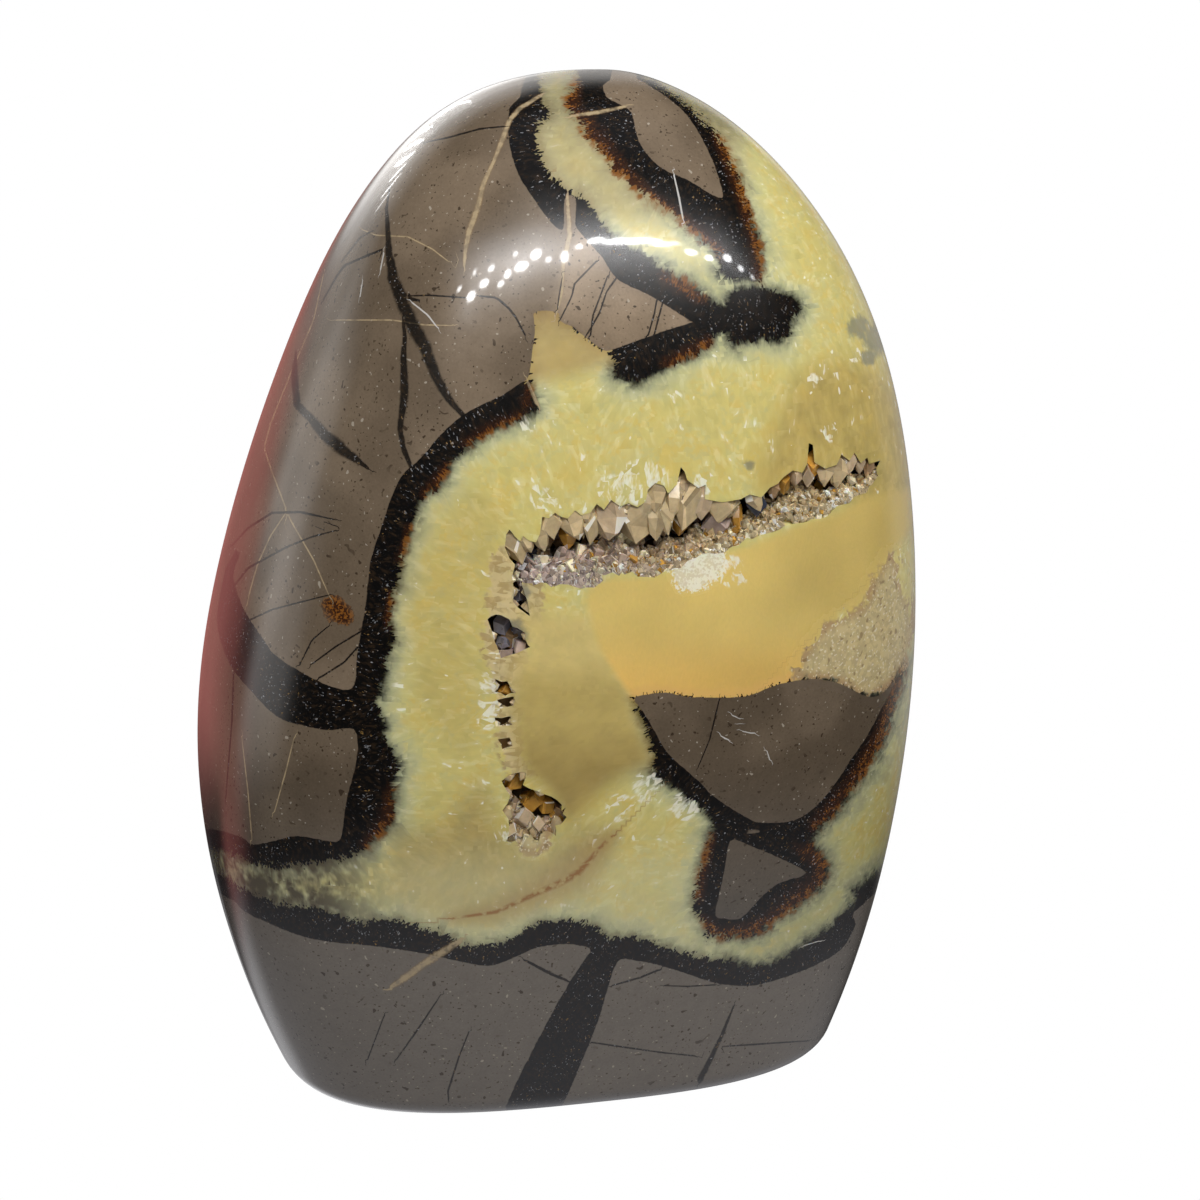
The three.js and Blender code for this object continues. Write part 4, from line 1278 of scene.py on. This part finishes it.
def grow(store, shape, root, tip, width, tint, painted_shade_spread=0.3):
    """One crystal from its root to its tip, both given as across, up and depth below the face."""
    start, end = in_the_vug(*root), in_the_vug(*tip)
    run = end - start
    length = np.linalg.norm(run)
    turn = Matrix.Rotation(chance.uniform(0, 2 * math.pi), 3, "Z")
    pose = np.array(Vector(run / length).to_track_quat("Z", "Y").to_matrix() @ turn)
    corners, faces = shape
    flat = chance.uniform(0.8, 1.2)
    sized = corners * (width * flat, width / flat, length)
    placed = (sized + chance.normal(0, 0.035 * width, corners.shape)) @ pose.T + start
    for number, point in enumerate(placed):
        away = np.linalg.norm(point - eye)
        line = (point - eye) / away
        face = outside.ray_cast(Vector(eye), Vector(line))[3]
        if face and away < face + FLUSH:
            placed[number] += line * (face + FLUSH - away)
    first = sum(len(part) for part in store["places"])
    store["places"].append(placed)
    store["faces"] += [tuple(first + corner for corner in face) for face in faces]
    # painted light and shade: each facet is made lighter or darker at random, and a few are painted white as
    # glints
    shade = np.exp(chance.normal(0, painted_shade_spread, len(faces)))
    bright = chance.uniform(0, 1, len(faces)) < GLINTING_FACETS
    own_tint = np.clip(np.array(tint) * chance.uniform(0.88, 1.12), 0, 1)
    store["facet_tint"].append(np.tile(own_tint, (len(faces), 1)))
    store["painted_facet_shade"].append(np.stack([shade, bright, np.zeros(len(faces))], axis=1))


def new_store():
    return {"places": [], "faces": [], "facet_tint": [], "painted_facet_shade": []}


def crystal_mesh(name, store):
    """All the crystals of a store as one mesh, with the tint and the painted light and shade of every facet
    kept on it.
    """
    mesh = bpy.data.meshes.new(name)
    mesh.from_pydata((np.concatenate(store["places"]) * MM).tolist(), [], store["faces"])
    mesh.update()
    for kind in ("facet_tint", "painted_facet_shade"):
        keep_vectors(mesh, kind, np.concatenate(store[kind]), "FACE")
    made = bpy.data.objects.new(name, mesh)
    bpy.context.collection.objects.link(made)
    made.data.materials.append(crystal_clear)
    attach(made, "root")


crystal_clear, shader = mineral(
    "clear brown calcite", ior=1.6, subsurface=0.2, scatter_ratio=(1.0, 0.55, 0.2), scatter_scale=0.8)
tree = crystal_clear.node_tree
grain = noise(millimetres(tree), 1.1, 3.0, 0.6)
# the facets' painted light and shade, and their painted white glints
painted_facet_shade, painted_facet_glint, _ = three_numbers(kept(tree, "painted_facet_shade"))
facet_color = shaded(kept(tree, "facet_tint"), painted_facet_shade * (0.62 + grain * 0.76))
join(mixed(painted_facet_glint * 0.7, facet_color, WHITE), shader.inputs["Base Color"])
join(0.10 + grain * 0.2, shader.inputs["Roughness"])

# Teeth and blocks of the upper lip: shape, across, up and depth of root and of tip, width, tint.
LIP_CRYSTALS = [
    (BLOCK, -11.4, 8.9, 2, -9.8, 4.5, 0.9, 2.7, BEIGE), (TOOTH, -9.7, 8.8, 2, -8.6, 5.8, 0.8, 2.2, BEIGE),
    (TOOTH, -8, 9.4, 2.2, -6.9, 6, 0.8, 2.6, BEIGE), (BLOCK, -6.6, 11.6, 2, -5.6, 7.7, 0.8, 2.6, BEIGE),
    (TOOTH, -4, 11.8, 2, -2.7, 7.4, 0.7, 3.2, BEIGE), (TOOTH, -4, 9.6, 4.2, -4, 6.2, 3, 2.6, AMBER),
    (BLOCK, -1.2, 11.2, 2.4, -1.2, 7, 1.4, 2.3, BEIGE), (TOOTH, -2, 12.6, 2.2, -1.6, 9.3, 0.5, 2.3, BEIGE),
    (TOOTH, 0.9, 12.6, 2.6, 1.2, 7.4, 0.6, 3.6, PINKISH), (BLOCK, 2.3, 12.8, 2, 2.4, 10.4, 0.5, 1.5, PALE),
    (BLOCK, 3.6, 12.4, 4.2, 3.6, 10.2, 2.8, 2.4, AMBER), (BLOCK, 4.5, 12.6, 2.6, 4.4, 7, 0.5, 4.4, BEIGE),
    (TOOTH, 5.4, 13.2, 2.2, 5.5, 10.2, 0.4, 2.1, BEIGE), (TOOTH, 7, 12.6, 2.2, 6.9, 7.3, 0.7, 2.7, BEIGE),
    (BLOCK, 8.2, 12.2, 2.2, 8.5, 8, 0.7, 2.4, BEIGE), (TOOTH, 6.9, 15.4, 2.4, 7, 11, 0.3, 2.7, BEIGE),
    (BLOCK, 10.6, 15.3, 3, 10.7, 9, 0.7, 4.2, BEIGE), (TOOTH, 12.3, 15.2, 2.6, 12.6, 9.9, 0.6, 3, PINKISH),
    (TOOTH, 9.2, 14.6, 2.8, 9, 10.2, 0.8, 2.4, BEIGE), (BLOCK, 10, 10.6, 3.8, 9.9, 8, 2.4, 1.9, AMBER),
    (BLOCK, 15.6, 13.4, 2.6, 14.8, 9.8, 1, 3.6, BEIGE), (TOOTH, 17, 12, 3.6, 17.1, 8.2, 2.2, 1.6, AMBER),
    (BLOCK, 14.6, 11.4, 4.6, 14.6, 7.8, 3.4, 3.4, LILAC), (BLOCK, 19.4, 13.6, 3.4, 19.5, 10.4, 2.4, 3, INKY),
    (TOOTH, 18.8, 13.8, 2, 20.2, 11.2, 0.4, 2.2, BEIGE), (BLOCK, 22.8, 15.8, 3, 22.8, 13.2, 1.4, 1.9, AMBER),
    (TOOTH, 21.7, 15, 2.6, 21.5, 12.6, 1, 1.6, BROWN),
    (BLOCK, 24.4, 16.8, 2.4, 24.4, 14.3, 0.7, 1.8, PINKISH),
    (BLOCK, 25.9, 16.6, 2.4, 25.9, 14.1, 0.9, 1.7, PINKISH),
    (BLOCK, 26.5, 18.2, 3.2, 26.4, 15, 1.6, 2, AMBER), (TOOTH, 28.2, 17.4, 2.2, 28, 14.2, 0.5, 2.2, BEIGE),
    (TOOTH, 29.6, 17.6, 2.2, 29.6, 13.9, 0.5, 2.4, BEIGE),
    (TOOTH, 30.8, 18.6, 2.2, 31, 15.6, 0.7, 1.8, PINKISH),
    (TOOTH, 32.4, 18.4, 2.2, 32.4, 15.6, 0.8, 1.6, PINKISH),
    (TOOTH, 33.8, 17.8, 2, 33.3, 15.4, 0.8, 1.5, BROWN),
]
# Crystals on either side of the slot and round the holes below it.
HOLE_CRYSTALS = [
    (TOOTH, -12.6, 4.6, 1.6, -10.7, 4, 0.6, 1.5, BEIGE), (TOOTH, -12.4, 2.9, 1.6, -10.4, 2.4, 0.6, 1.6, PALE),
    (TOOTH, -12.3, 1.2, 1.6, -10.2, 0.9, 0.7, 1.5, BEIGE),
    (TOOTH, -12.2, -0.3, 1.6, -10.1, -0.6, 0.7, 1.4, PINKISH),
    (BLOCK, -7.6, 1.2, 1.8, -9.8, 1, 0.5, 2.6, BEIGE), (BLOCK, -7.4, -0.8, 1.8, -9.7, -0.9, 0.6, 2.4, BEIGE),
    (TOOTH, -9.4, 4.6, 2.4, -10.6, 2.6, 1.6, 1.6, DUSK), (BLOCK, -10.2, 0.4, 5, -10.2, 1.4, 2.6, 2.2, SLATE),
    (BLOCK, -12.4, -3, 5, -12, -3.2, 2.6, 2.4, SLATE), (BLOCK, -11.2, -4.6, 5, -11, -4.8, 2.4, 2.4, BROWN),
    (BLOCK, -10.2, -3.8, 4.8, -10.3, -3.7, 2.8, 1.9, SLATE),
    (TOOTH, -12.2, -5.6, 4.6, -12, -4.9, 2, 1.7, SLATE),
    (BLOCK, -9.9, -6.2, 3.4, -10.4, -5.2, 1.4, 1.9, LILAC),
    (BLOCK, -11.8, -7.6, 3, -11.4, -6.2, 1.2, 2, LILAC), (TOOTH, -8, -4.6, 1.8, -9.9, -4.3, 0.6, 1.7, BEIGE),
    (TOOTH, -14.6, -4.6, 1.8, -12.7, -4.4, 0.7, 1.6, BEIGE),
    (TOOTH, -13.4, -8, 1.4, -12.2, -9.2, 0.3, 1.6, BEIGE), (BLOCK, -9.6, -8.4, 1.4, -10.9, -9, 0.3, 2, BEIGE),
    (TOOTH, -14, -10.9, 1.4, -12.6, -10.7, 0.4, 1.3, PALE),
    (TOOTH, -9.8, -11, 1.4, -11.3, -10.8, 0.5, 1.3, BEIGE),
    (BLOCK, -11.8, -11.6, 2.2, -11.8, -10.6, 1.4, 1.5, AMBER),
    (TOOTH, -9.6, -12.9, 1.4, -11.3, -12.8, 0.4, 1.3, PINKISH),
    (TOOTH, -13.9, -13.4, 1.4, -12.3, -13, 0.4, 1.2, PALE),
    (BLOCK, -11.6, -13.6, 1.6, -11.9, -14.2, 0.2, 1.5, BEIGE),
    (TOOTH, -10, -15, 1.4, -11.5, -15.2, 0.4, 1.3, BEIGE),
    (TOOTH, -14, -15.8, 1.4, -12.4, -15.4, 0.4, 1.4, PALE),
    (BLOCK, -12, -15.8, 1.4, -12, -17, 0.2, 1.7, BEIGE),
    (TOOTH, -10.2, -17.9, 1.4, -11.6, -17.9, 0.4, 1.2, PINKISH),
    (TOOTH, -13.7, -18.4, 1.2, -12.3, -18, 0.4, 1.2, BEIGE),
    (BLOCK, -11.4, -18.4, 1.4, -11.4, -19.6, 0.2, 1.6, BEIGE),
    (BLOCK, -10.6, -22.8, 4.6, -10.6, -22, 2.2, 2.4, AMBER),
    (BLOCK, -8.2, -25, 4.6, -8.2, -24.6, 2, 2.6, AMBER), (BLOCK, -5.4, -26.4, 4, -5.6, -26, 2.2, 1.8, BROWN),
    (BLOCK, -6.8, -25.6, 4, -6.9, -25.4, 1.7, 2.2, AMBER),
    (TOOTH, -11.6, -21, 1.6, -11.4, -22.8, 0.6, 1.8, BEIGE),
    (TOOTH, -9.4, -20.9, 1.6, -9.9, -22.6, 0.6, 1.6, BEIGE),
    (TOOTH, -7.4, -22.9, 1.6, -7.6, -24.6, 0.6, 1.7, BEIGE),
    (TOOTH, -12.4, -24.2, 1.6, -10.9, -24.4, 0.6, 1.6, PINKISH),
    (BLOCK, -9.8, -28, 2.4, -9.4, -26, 0.6, 2, PINKISH),
    (BLOCK, -11.4, -29.4, 1.6, -10.8, -27.8, 0.3, 1.6, BEIGE),
    (BLOCK, -7.8, -28.6, 1.8, -7.6, -27, 0.4, 1.7, PINKISH),
    (TOOTH, -5.6, -29, 1.6, -5.4, -26.9, 0.5, 1.7, BEIGE),
    (BLOCK, -9.6, -31, 1.2, -9.2, -29.6, 0.2, 1.5, PALE),
    (TOOTH, -11.9, -27.2, 1.4, -11.3, -25.6, 0.5, 1.5, BEIGE),
    (BLOCK, -6.4, -30.8, 1, -6.2, -29, 0.2, 1.7, BEIGE),
]
crystals = new_store()
RISE_TO_FACE = 0.55
for shape, *numbers, width, tint in LIP_CRYSTALS + HOLE_CRYSTALS:
    root, tip = np.reshape(numbers, (2, 3)) * (1, 1, RISE_TO_FACE)
    grow(crystals, shape, root, tip, width, tint, painted_shade_spread=0.2)
    for _ in range(2):
        aside = chance.uniform(-0.6, 0.6, 2) * (width, 0.3 * width)
        share = chance.uniform(0.25, 0.8)
        small_shape = BLOCK if chance.uniform() < 0.5 else TOOTH
        small_root = (*(root[:2] + aside), root[2] + 0.3)
        small_tip = (*(root[:2] + (tip - root)[:2] * share + aside), tip[2] + 0.25)
        grow(crystals, small_shape, small_root, small_tip, 0.5 * width, tint, painted_shade_spread=0.25)

# The wall behind and between them: more teeth, deeper down, brown in the shade and amber where light
# comes through the stone.
gap_shape = np.array(LONG_GAP)
WALL_CRYSTALS = 260
WALL_LOW = (-12, -2)
WALL_HIGH = (34.5, 19)
WALL_DEPTHS = (2.6, 7.5)
WALL_SIZES = (1.2, 2.4)
WALL_TINTS = [(0.26, AMBER), (0.44, DUSK), (0.62, LILAC), (0.85, BROWN), (1.0, PINKISH)]
LEFT_END = -8.5
LEFT_END_INKY = 0.7


def scatter(count, low, high, is_in):
    """Random places on the plan, between two corners, that a test lets in."""
    tries = chance.uniform(low, high, (count * 12, 2))
    return tries[is_in(tries)][:count]


def in_the_gap(tries):
    return inside_distance(tries, gap_shape) > 0.1


for across, up in scatter(WALL_CRYSTALS, WALL_LOW, WALL_HIGH, in_the_gap):
    below = chance.uniform(*WALL_DEPTHS)
    size = chance.uniform(*WALL_SIZES)
    pick = chance.uniform()
    tint = next(tint for share, tint in WALL_TINTS if pick < share)
    if across < LEFT_END and pick > 1 - LEFT_END_INKY:
        tint = INKY
    lean = chance.normal(0, 0.8, 2)
    shape = TOOTH if chance.uniform() < 0.5 else BLOCK
    root = (across + 0.4 * lean[0], up + 0.9 + lean[1] * 0.4, below + size * 1.2)
    tip = (across - 0.3 * lean[0], up - 0.3 - lean[1] * 0.3, below)
    grow(crystals, shape, root, tip, size, tint)
crystal_mesh("vug_crystals", crystals)

# ----------------------------------------------------------------------------------------------
# The druse: a crust of small crystals, under a millimetre each, that covers the shelf below the gap
# and the floor of the lower pocket. Grown on the stone, lilac-brown at the left and tan at the right.
# ----------------------------------------------------------------------------------------------
DRUSE_COUNT = 1150
DRUSE_SIZES = (0.55, 1.2)
COARSE_DRUSE = 1.7              # half of the druse at the left is this much coarser
COARSE_ENDS = 4
DRUSE_LOW = (-10.5, 1.0)
DRUSE_HIGH = (35.0, 18.0)
POCKET_COUNT = 150
POCKET_SIZES = (0.5, 1.2)
POCKET_LOW = (-12.2, -31.8)
POCKET_HIGH = (-3.8, -24)
druse = new_store()
shelf_shape = round_off(SHELF)
pocket_shape = round_off(POCKET_SHELF)


def druse_tint(across, pick):
    """Lilac-brown at the left, warmer and paler towards the right, with a few white bits that are painted
    sparkles.
    """
    if pick < 0.05:
        return WHITE
    if pick < 0.12:
        return AMBER if across > -4 else DUSK
    if pick < 0.26:
        return PALE
    warm = np.clip((across + 4 + 14 * (pick - 0.5)) / 20, 0, 1)
    return np.array(LILAC) * (1 - warm) + np.array(BEIGE) * warm


def on_shelf(tries):
    return (inside_distance(tries, shelf_shape) > -0.2) & (inside_distance(tries, gap_shape) < 0.5)


def in_pocket(tries):
    return inside_distance(tries, pocket_shape) > 0


def grow_druse(shape, across, up, floor_depth, size, lean, stands, comes_out, tint):
    """One small crystal that stands up and comes out of a floor by shares of its size."""
    tip_depth = max(floor_depth - comes_out * size, 0.02)
    tip = (across + lean[0], up + stands * size + lean[1], tip_depth)
    grow(druse, shape, (across, up, floor_depth + 0.3 * size), tip, size, tint)


for across, up in scatter(DRUSE_COUNT, DRUSE_LOW, DRUSE_HIGH, on_shelf):
    size = chance.uniform(*DRUSE_SIZES)
    if across < COARSE_ENDS and chance.uniform() < 0.5:
        size *= COARSE_DRUSE
    lean = chance.normal(0, 0.35, 2)
    shape = TOOTH if chance.uniform() < 0.6 else BLOCK
    tint = druse_tint(across, chance.uniform())
    floor_depth = shelf_depth(across, up)
    grow_druse(shape, across, up, floor_depth, size, lean, stands=0.45, comes_out=1.0, tint=tint)
for across, up in scatter(POCKET_COUNT, POCKET_LOW, POCKET_HIGH, in_pocket):
    size = chance.uniform(*POCKET_SIZES)
    lean = chance.normal(0, 0.4, 2)
    tint = druse_tint(20 * chance.uniform(), chance.uniform())
    floor_depth = pocket_depth(across, up)
    grow_druse(BLOCK, across, up, floor_depth, size, lean, stands=0.4, comes_out=0.9, tint=tint)
crystal_mesh("vug_druse", druse)

# ----------------------------------------------------------------------------------------------
# The stage: a plain white floor that glows evenly, two soft lamps that fill, and the camera. A sky
# with the soft lights of a room, and a row of small oval lamps, show only as reflections in the polish.
# ----------------------------------------------------------------------------------------------
FLOOR_SIZE = 0.8
deselect_all()
bpy.ops.mesh.primitive_plane_add(size=FLOOR_SIZE)
floor = bpy.context.object
floor.name = "floor"
floor.visible_glossy = False
floor.visible_diffuse = False
paint = bpy.data.materials.new("pale floor")
paint.use_nodes = True
floor_shader = paint.node_tree.nodes["Principled BSDF"]
floor_shader.inputs["Base Color"].default_value = (0, 0, 0, 1)
floor_shader.inputs["Roughness"].default_value = 0.9
floor_shader.inputs["Specular IOR Level"].default_value = 0.0
floor_shader.inputs["Emission Color"].default_value = (1, 1, 1, 1)
floor_shader.inputs["Emission Strength"].default_value = 1.0
floor.data.materials.append(paint)


def heading(turn, rise):
    """The direction at a turn to the right of straight in front, and a rise above level."""
    turn, rise = math.radians(turn), math.radians(rise)
    return Vector((math.sin(turn) * math.cos(rise), -math.cos(turn) * math.cos(rise), math.sin(rise)))


def lamp(name, lit_place, way, distance, width, tall, power, in_the_polish):
    """A soft oval lamp at a distance from a place. Either only the polish shows it, or it only fills."""
    light = bpy.data.lights.new(name, "AREA")
    light.shape = "ELLIPSE"
    light.size = width
    light.size_y = tall
    light.energy = power
    made = bpy.data.objects.new(name, light)
    bpy.context.collection.objects.link(made)
    made.location = lit_place + way * distance
    made.rotation_euler = (-way).to_track_quat("-Z", "Y").to_euler()
    made.visible_camera = False
    made.visible_diffuse = not in_the_polish
    made.visible_glossy = in_the_polish
    made.visible_transmission = False


STONE_MIDDLE = Vector((0, 0, 0.06))
lamp("key", STONE_MIDDLE, heading(turn=4, rise=54), distance=1.0, width=0.6, tall=0.5, power=8.6,
     in_the_polish=False)
lamp("back_fill", STONE_MIDDLE, heading(turn=175, rise=40), distance=1.1, width=0.7, tall=0.7, power=6.0,
     in_the_polish=False)
# Small lamps that the polish mirrors as a broken bright line: where each shows on the face plan, and
# how wide and tall it is, and how strong beside the others.
GLINTS = [
    (-17.6, 38.9, 0.040, 0.022, 0.7), (-16.1, 37.9, 0.075, 0.034, 1), (-14.5, 39.5, 0.070, 0.030, 1),
    (-15.6, 41.0, 0.030, 0.022, 0.6), (-13.6, 41.4, 0.050, 0.026, 0.7), (-12.4, 39.6, 0.044, 0.024, 0.8),
    (-11.5, 40.7, 0.044, 0.034, 1), (-10.6, 43.4, 0.034, 0.022, 0.6), (-9.8, 41.6, 0.085, 0.038, 1),
    (-8.0, 43.2, 0.060, 0.042, 1), (-6.4, 42.6, 0.032, 0.020, 0.8), (-4.5, 42.8, 0.034, 0.046, 1),
    (-2.6, 44.0, 0.030, 0.020, 0.8), (-0.6, 44.9, 0.060, 0.024, 1), (2.2, 44.8, 0.070, 0.024, 1),
    (4.8, 44.9, 0.060, 0.020, 1), (7.9, 44.4, 0.050, 0.016, 1), (9.7, 44.6, 0.022, 0.014, 0.7),
    (11.4, 43.5, 0.044, 0.022, 1), (13.7, 42.7, 0.036, 0.024, 1), (15.9, 42.7, 0.044, 0.028, 1),
    (17.6, 41.4, 0.030, 0.022, 0.8), (19.0, 40.4, 0.022, 0.016, 0.6),
    (-17.2, 62.4, 0.016, 0.050, 0.16), (-18.6, 61.4, 0.014, 0.060, 0.22), (-20.2, 60.0, 0.014, 0.060, 0.18),
    (-21.8, 58.4, 0.014, 0.070, 0.26), (-23.2, 56.8, 0.014, 0.070, 0.20), (-24.4, 55.2, 0.014, 0.070, 0.22),
    (-25.4, 53.6, 0.014, 0.060, 0.14), (-26.3, 51.8, 0.012, 0.070, 0.16), (-27.2, 49.8, 0.012, 0.060, 0.10),
]
GLINT_DISTANCE = 1.0
GLINT_STRENGTH = 140.0          # watts per square metre of lamp


def mirrored_way(across, up):
    """The way a sight line leaves the polish, with the face's slope evened over a few millimetres."""
    slope = Vector((0, 0, 0))
    for step_across, step_up in ((0, 0), (1, 0), (-1, 0), (0, 1), (0, -1)):
        line = sight_line(across + step_across, up + step_up)
        slope += outside.ray_cast(Vector(eye), Vector(line))[1] or Vector((0, 0, 0))
    return Vector(sight_line(across, up)).reflect(slope.normalized())


for number, (across, up, width, tall, strength) in enumerate(GLINTS):
    shows_at = Vector(in_the_vug(across, up, 0)) * MM
    power = GLINT_STRENGTH * strength * width * tall
    way = mirrored_way(across, up)
    lamp(f"glint_{number}", shows_at, way, GLINT_DISTANCE, width, tall, power, in_the_polish=True)

world = bpy.data.worlds.new("studio")
bpy.context.scene.world = world
world.use_nodes = True
world.cycles.sampling_method = "NONE"        # an even dome needs no aimed rays
tree = world.node_tree
glossy_ray = add_node(tree, "ShaderNodeLightPath", {}, "Is Glossy Ray")
camera_ray = add_node(tree, "ShaderNodeLightPath", {}, "Is Camera Ray")
way_right, way_back, way_up = three_numbers(add_node(tree, "ShaderNodeTexCoord", {}, "Generated"))


def glow(color, *edges):
    """A soft light of the room: its colour, where a direction lies well inside all of its soft edges."""
    share = 1.0
    for value, low, high in edges:
        share = share * over(value, low, high)
    return mixed(share, (0, 0, 0), color)


DARK_ROOM = (0.015, 0.015, 0.016)
FROM_THE_FLOOR = (0.26, 0.26, 0.26)
FROM_ABOVE = (0.38, 0.38, 0.39)
BACKDROP = (1.0, 1.0, 1.0)
mirrored = DARK_ROOM
for soft_light in (
        glow((0.32, 0.32, 0.34), (way_up, -0.45, -0.80)),
        glow((0.14, 0.14, 0.15), (way_up, 0.80, 0.98)),
        # the window glow on the shoulder, and its weaker end to the right
        glow((0.8, 0.77, 0.74), (way_up, 0.38, 0.50), (way_up, 0.64, 0.56), (way_right, -0.06, 0.12),
             (way_right, 0.48, 0.28), (way_back, 0.0, -0.4)),
        glow((6.2, 6.2, 6.3), (way_up, 0.545, 0.635), (way_up, 0.76, 0.62), (way_right, -0.75, -0.15),
             (way_right, 0.34, -0.05), (way_back, 0.0, -0.5)),
        glow((1.5, 1.5, 1.55), (way_up, 0.50, 0.59), (way_up, 0.69, 0.60), (way_right, -0.10, 0.25),
             (way_right, 0.62, 0.40), (way_back, 0.0, -0.4)),
        # the pale room behind the crown, the grey at the left and the edge light at the right
        glow((0.52, 0.50, 0.48), (way_back, 0.70, 0.92), (way_up, -0.12, 0.12), (way_up, 0.75, 0.35)),
        glow((1.7, 1.7, 1.7), (way_back, 0.955, 0.992), (way_up, -0.02, 0.09), (way_up, 0.50, 0.32)),
        glow((1.0, 0.96, 0.92), (way_back, 0.10, 0.35), (way_back, 0.88, 0.70), (way_right, -0.30, -0.60),
             (way_up, -0.14, 0.02), (way_up, 0.35, 0.15)),
        glow((0.95, 0.92, 0.90), (way_back, -0.25, 0.05), (way_back, 0.62, 0.40), (way_right, -0.55, -0.80),
             (way_up, 0.20, -0.05), (way_up, -0.45, -0.15)),
        glow((0.36, 0.34, 0.32), (way_back, -0.05, 0.25), (way_right, 0.35, 0.60), (way_up, -0.50, -0.30),
             (way_up, 0.35, 0.05)),
        # the pale table at the lower left
        glow((0.45, 0.45, 0.46), (way_up, -0.50, -0.60), (way_right, 0.22, 0.05), (way_back, 0.45, 0.70)),
        glow((0.45, 0.45, 0.46), (way_up, -0.40, -0.48), (way_right, -0.10, 0.03), (way_right, 0.22, 0.12),
             (way_back, 0.70, 0.80)),
        # the rosy thing beside the stone
        glow((0.46, 0.140, 0.125), (way_back, 0.26, 0.55), (way_back, 0.82, 0.68), (way_right, 0.20, 0.0),
             (way_up, -0.04, -0.30), (way_up, -0.60, -0.46)),
        glow((0.46, 0.140, 0.125), (way_back, 0.68, 0.82), (way_right, 0.20, 0.0), (way_up, 0.02, -0.12),
             (way_up, -0.42, -0.30))):
    mirrored = mixed(1.0, mirrored, soft_light, "ADD")
around = mixed(over(way_up, -0.8, 1.0), FROM_THE_FLOOR, FROM_ABOVE)
shown = mixed(glossy_ray, around, mirrored)
shown = mixed(camera_ray, shown, BACKDROP)
join(shown, tree.nodes["Background"].inputs["Color"])

# The camera stands at the eye of the face plan.
LENS = 79.2
camera_data = bpy.data.cameras.new("camera")
camera_data.lens = LENS
camera_data.clip_start = 0.01
camera = bpy.data.objects.new("camera", camera_data)
bpy.context.collection.objects.link(camera)
turned = Matrix([[plan_across[i], plan_up[i], to_eye[i]] for i in range(3)]).to_4x4()
camera.matrix_world = Matrix.Translation(Vector(eye * MM)) @ turned
bpy.context.scene.camera = camera
bpy.context.scene.view_settings.view_transform = "Standard"
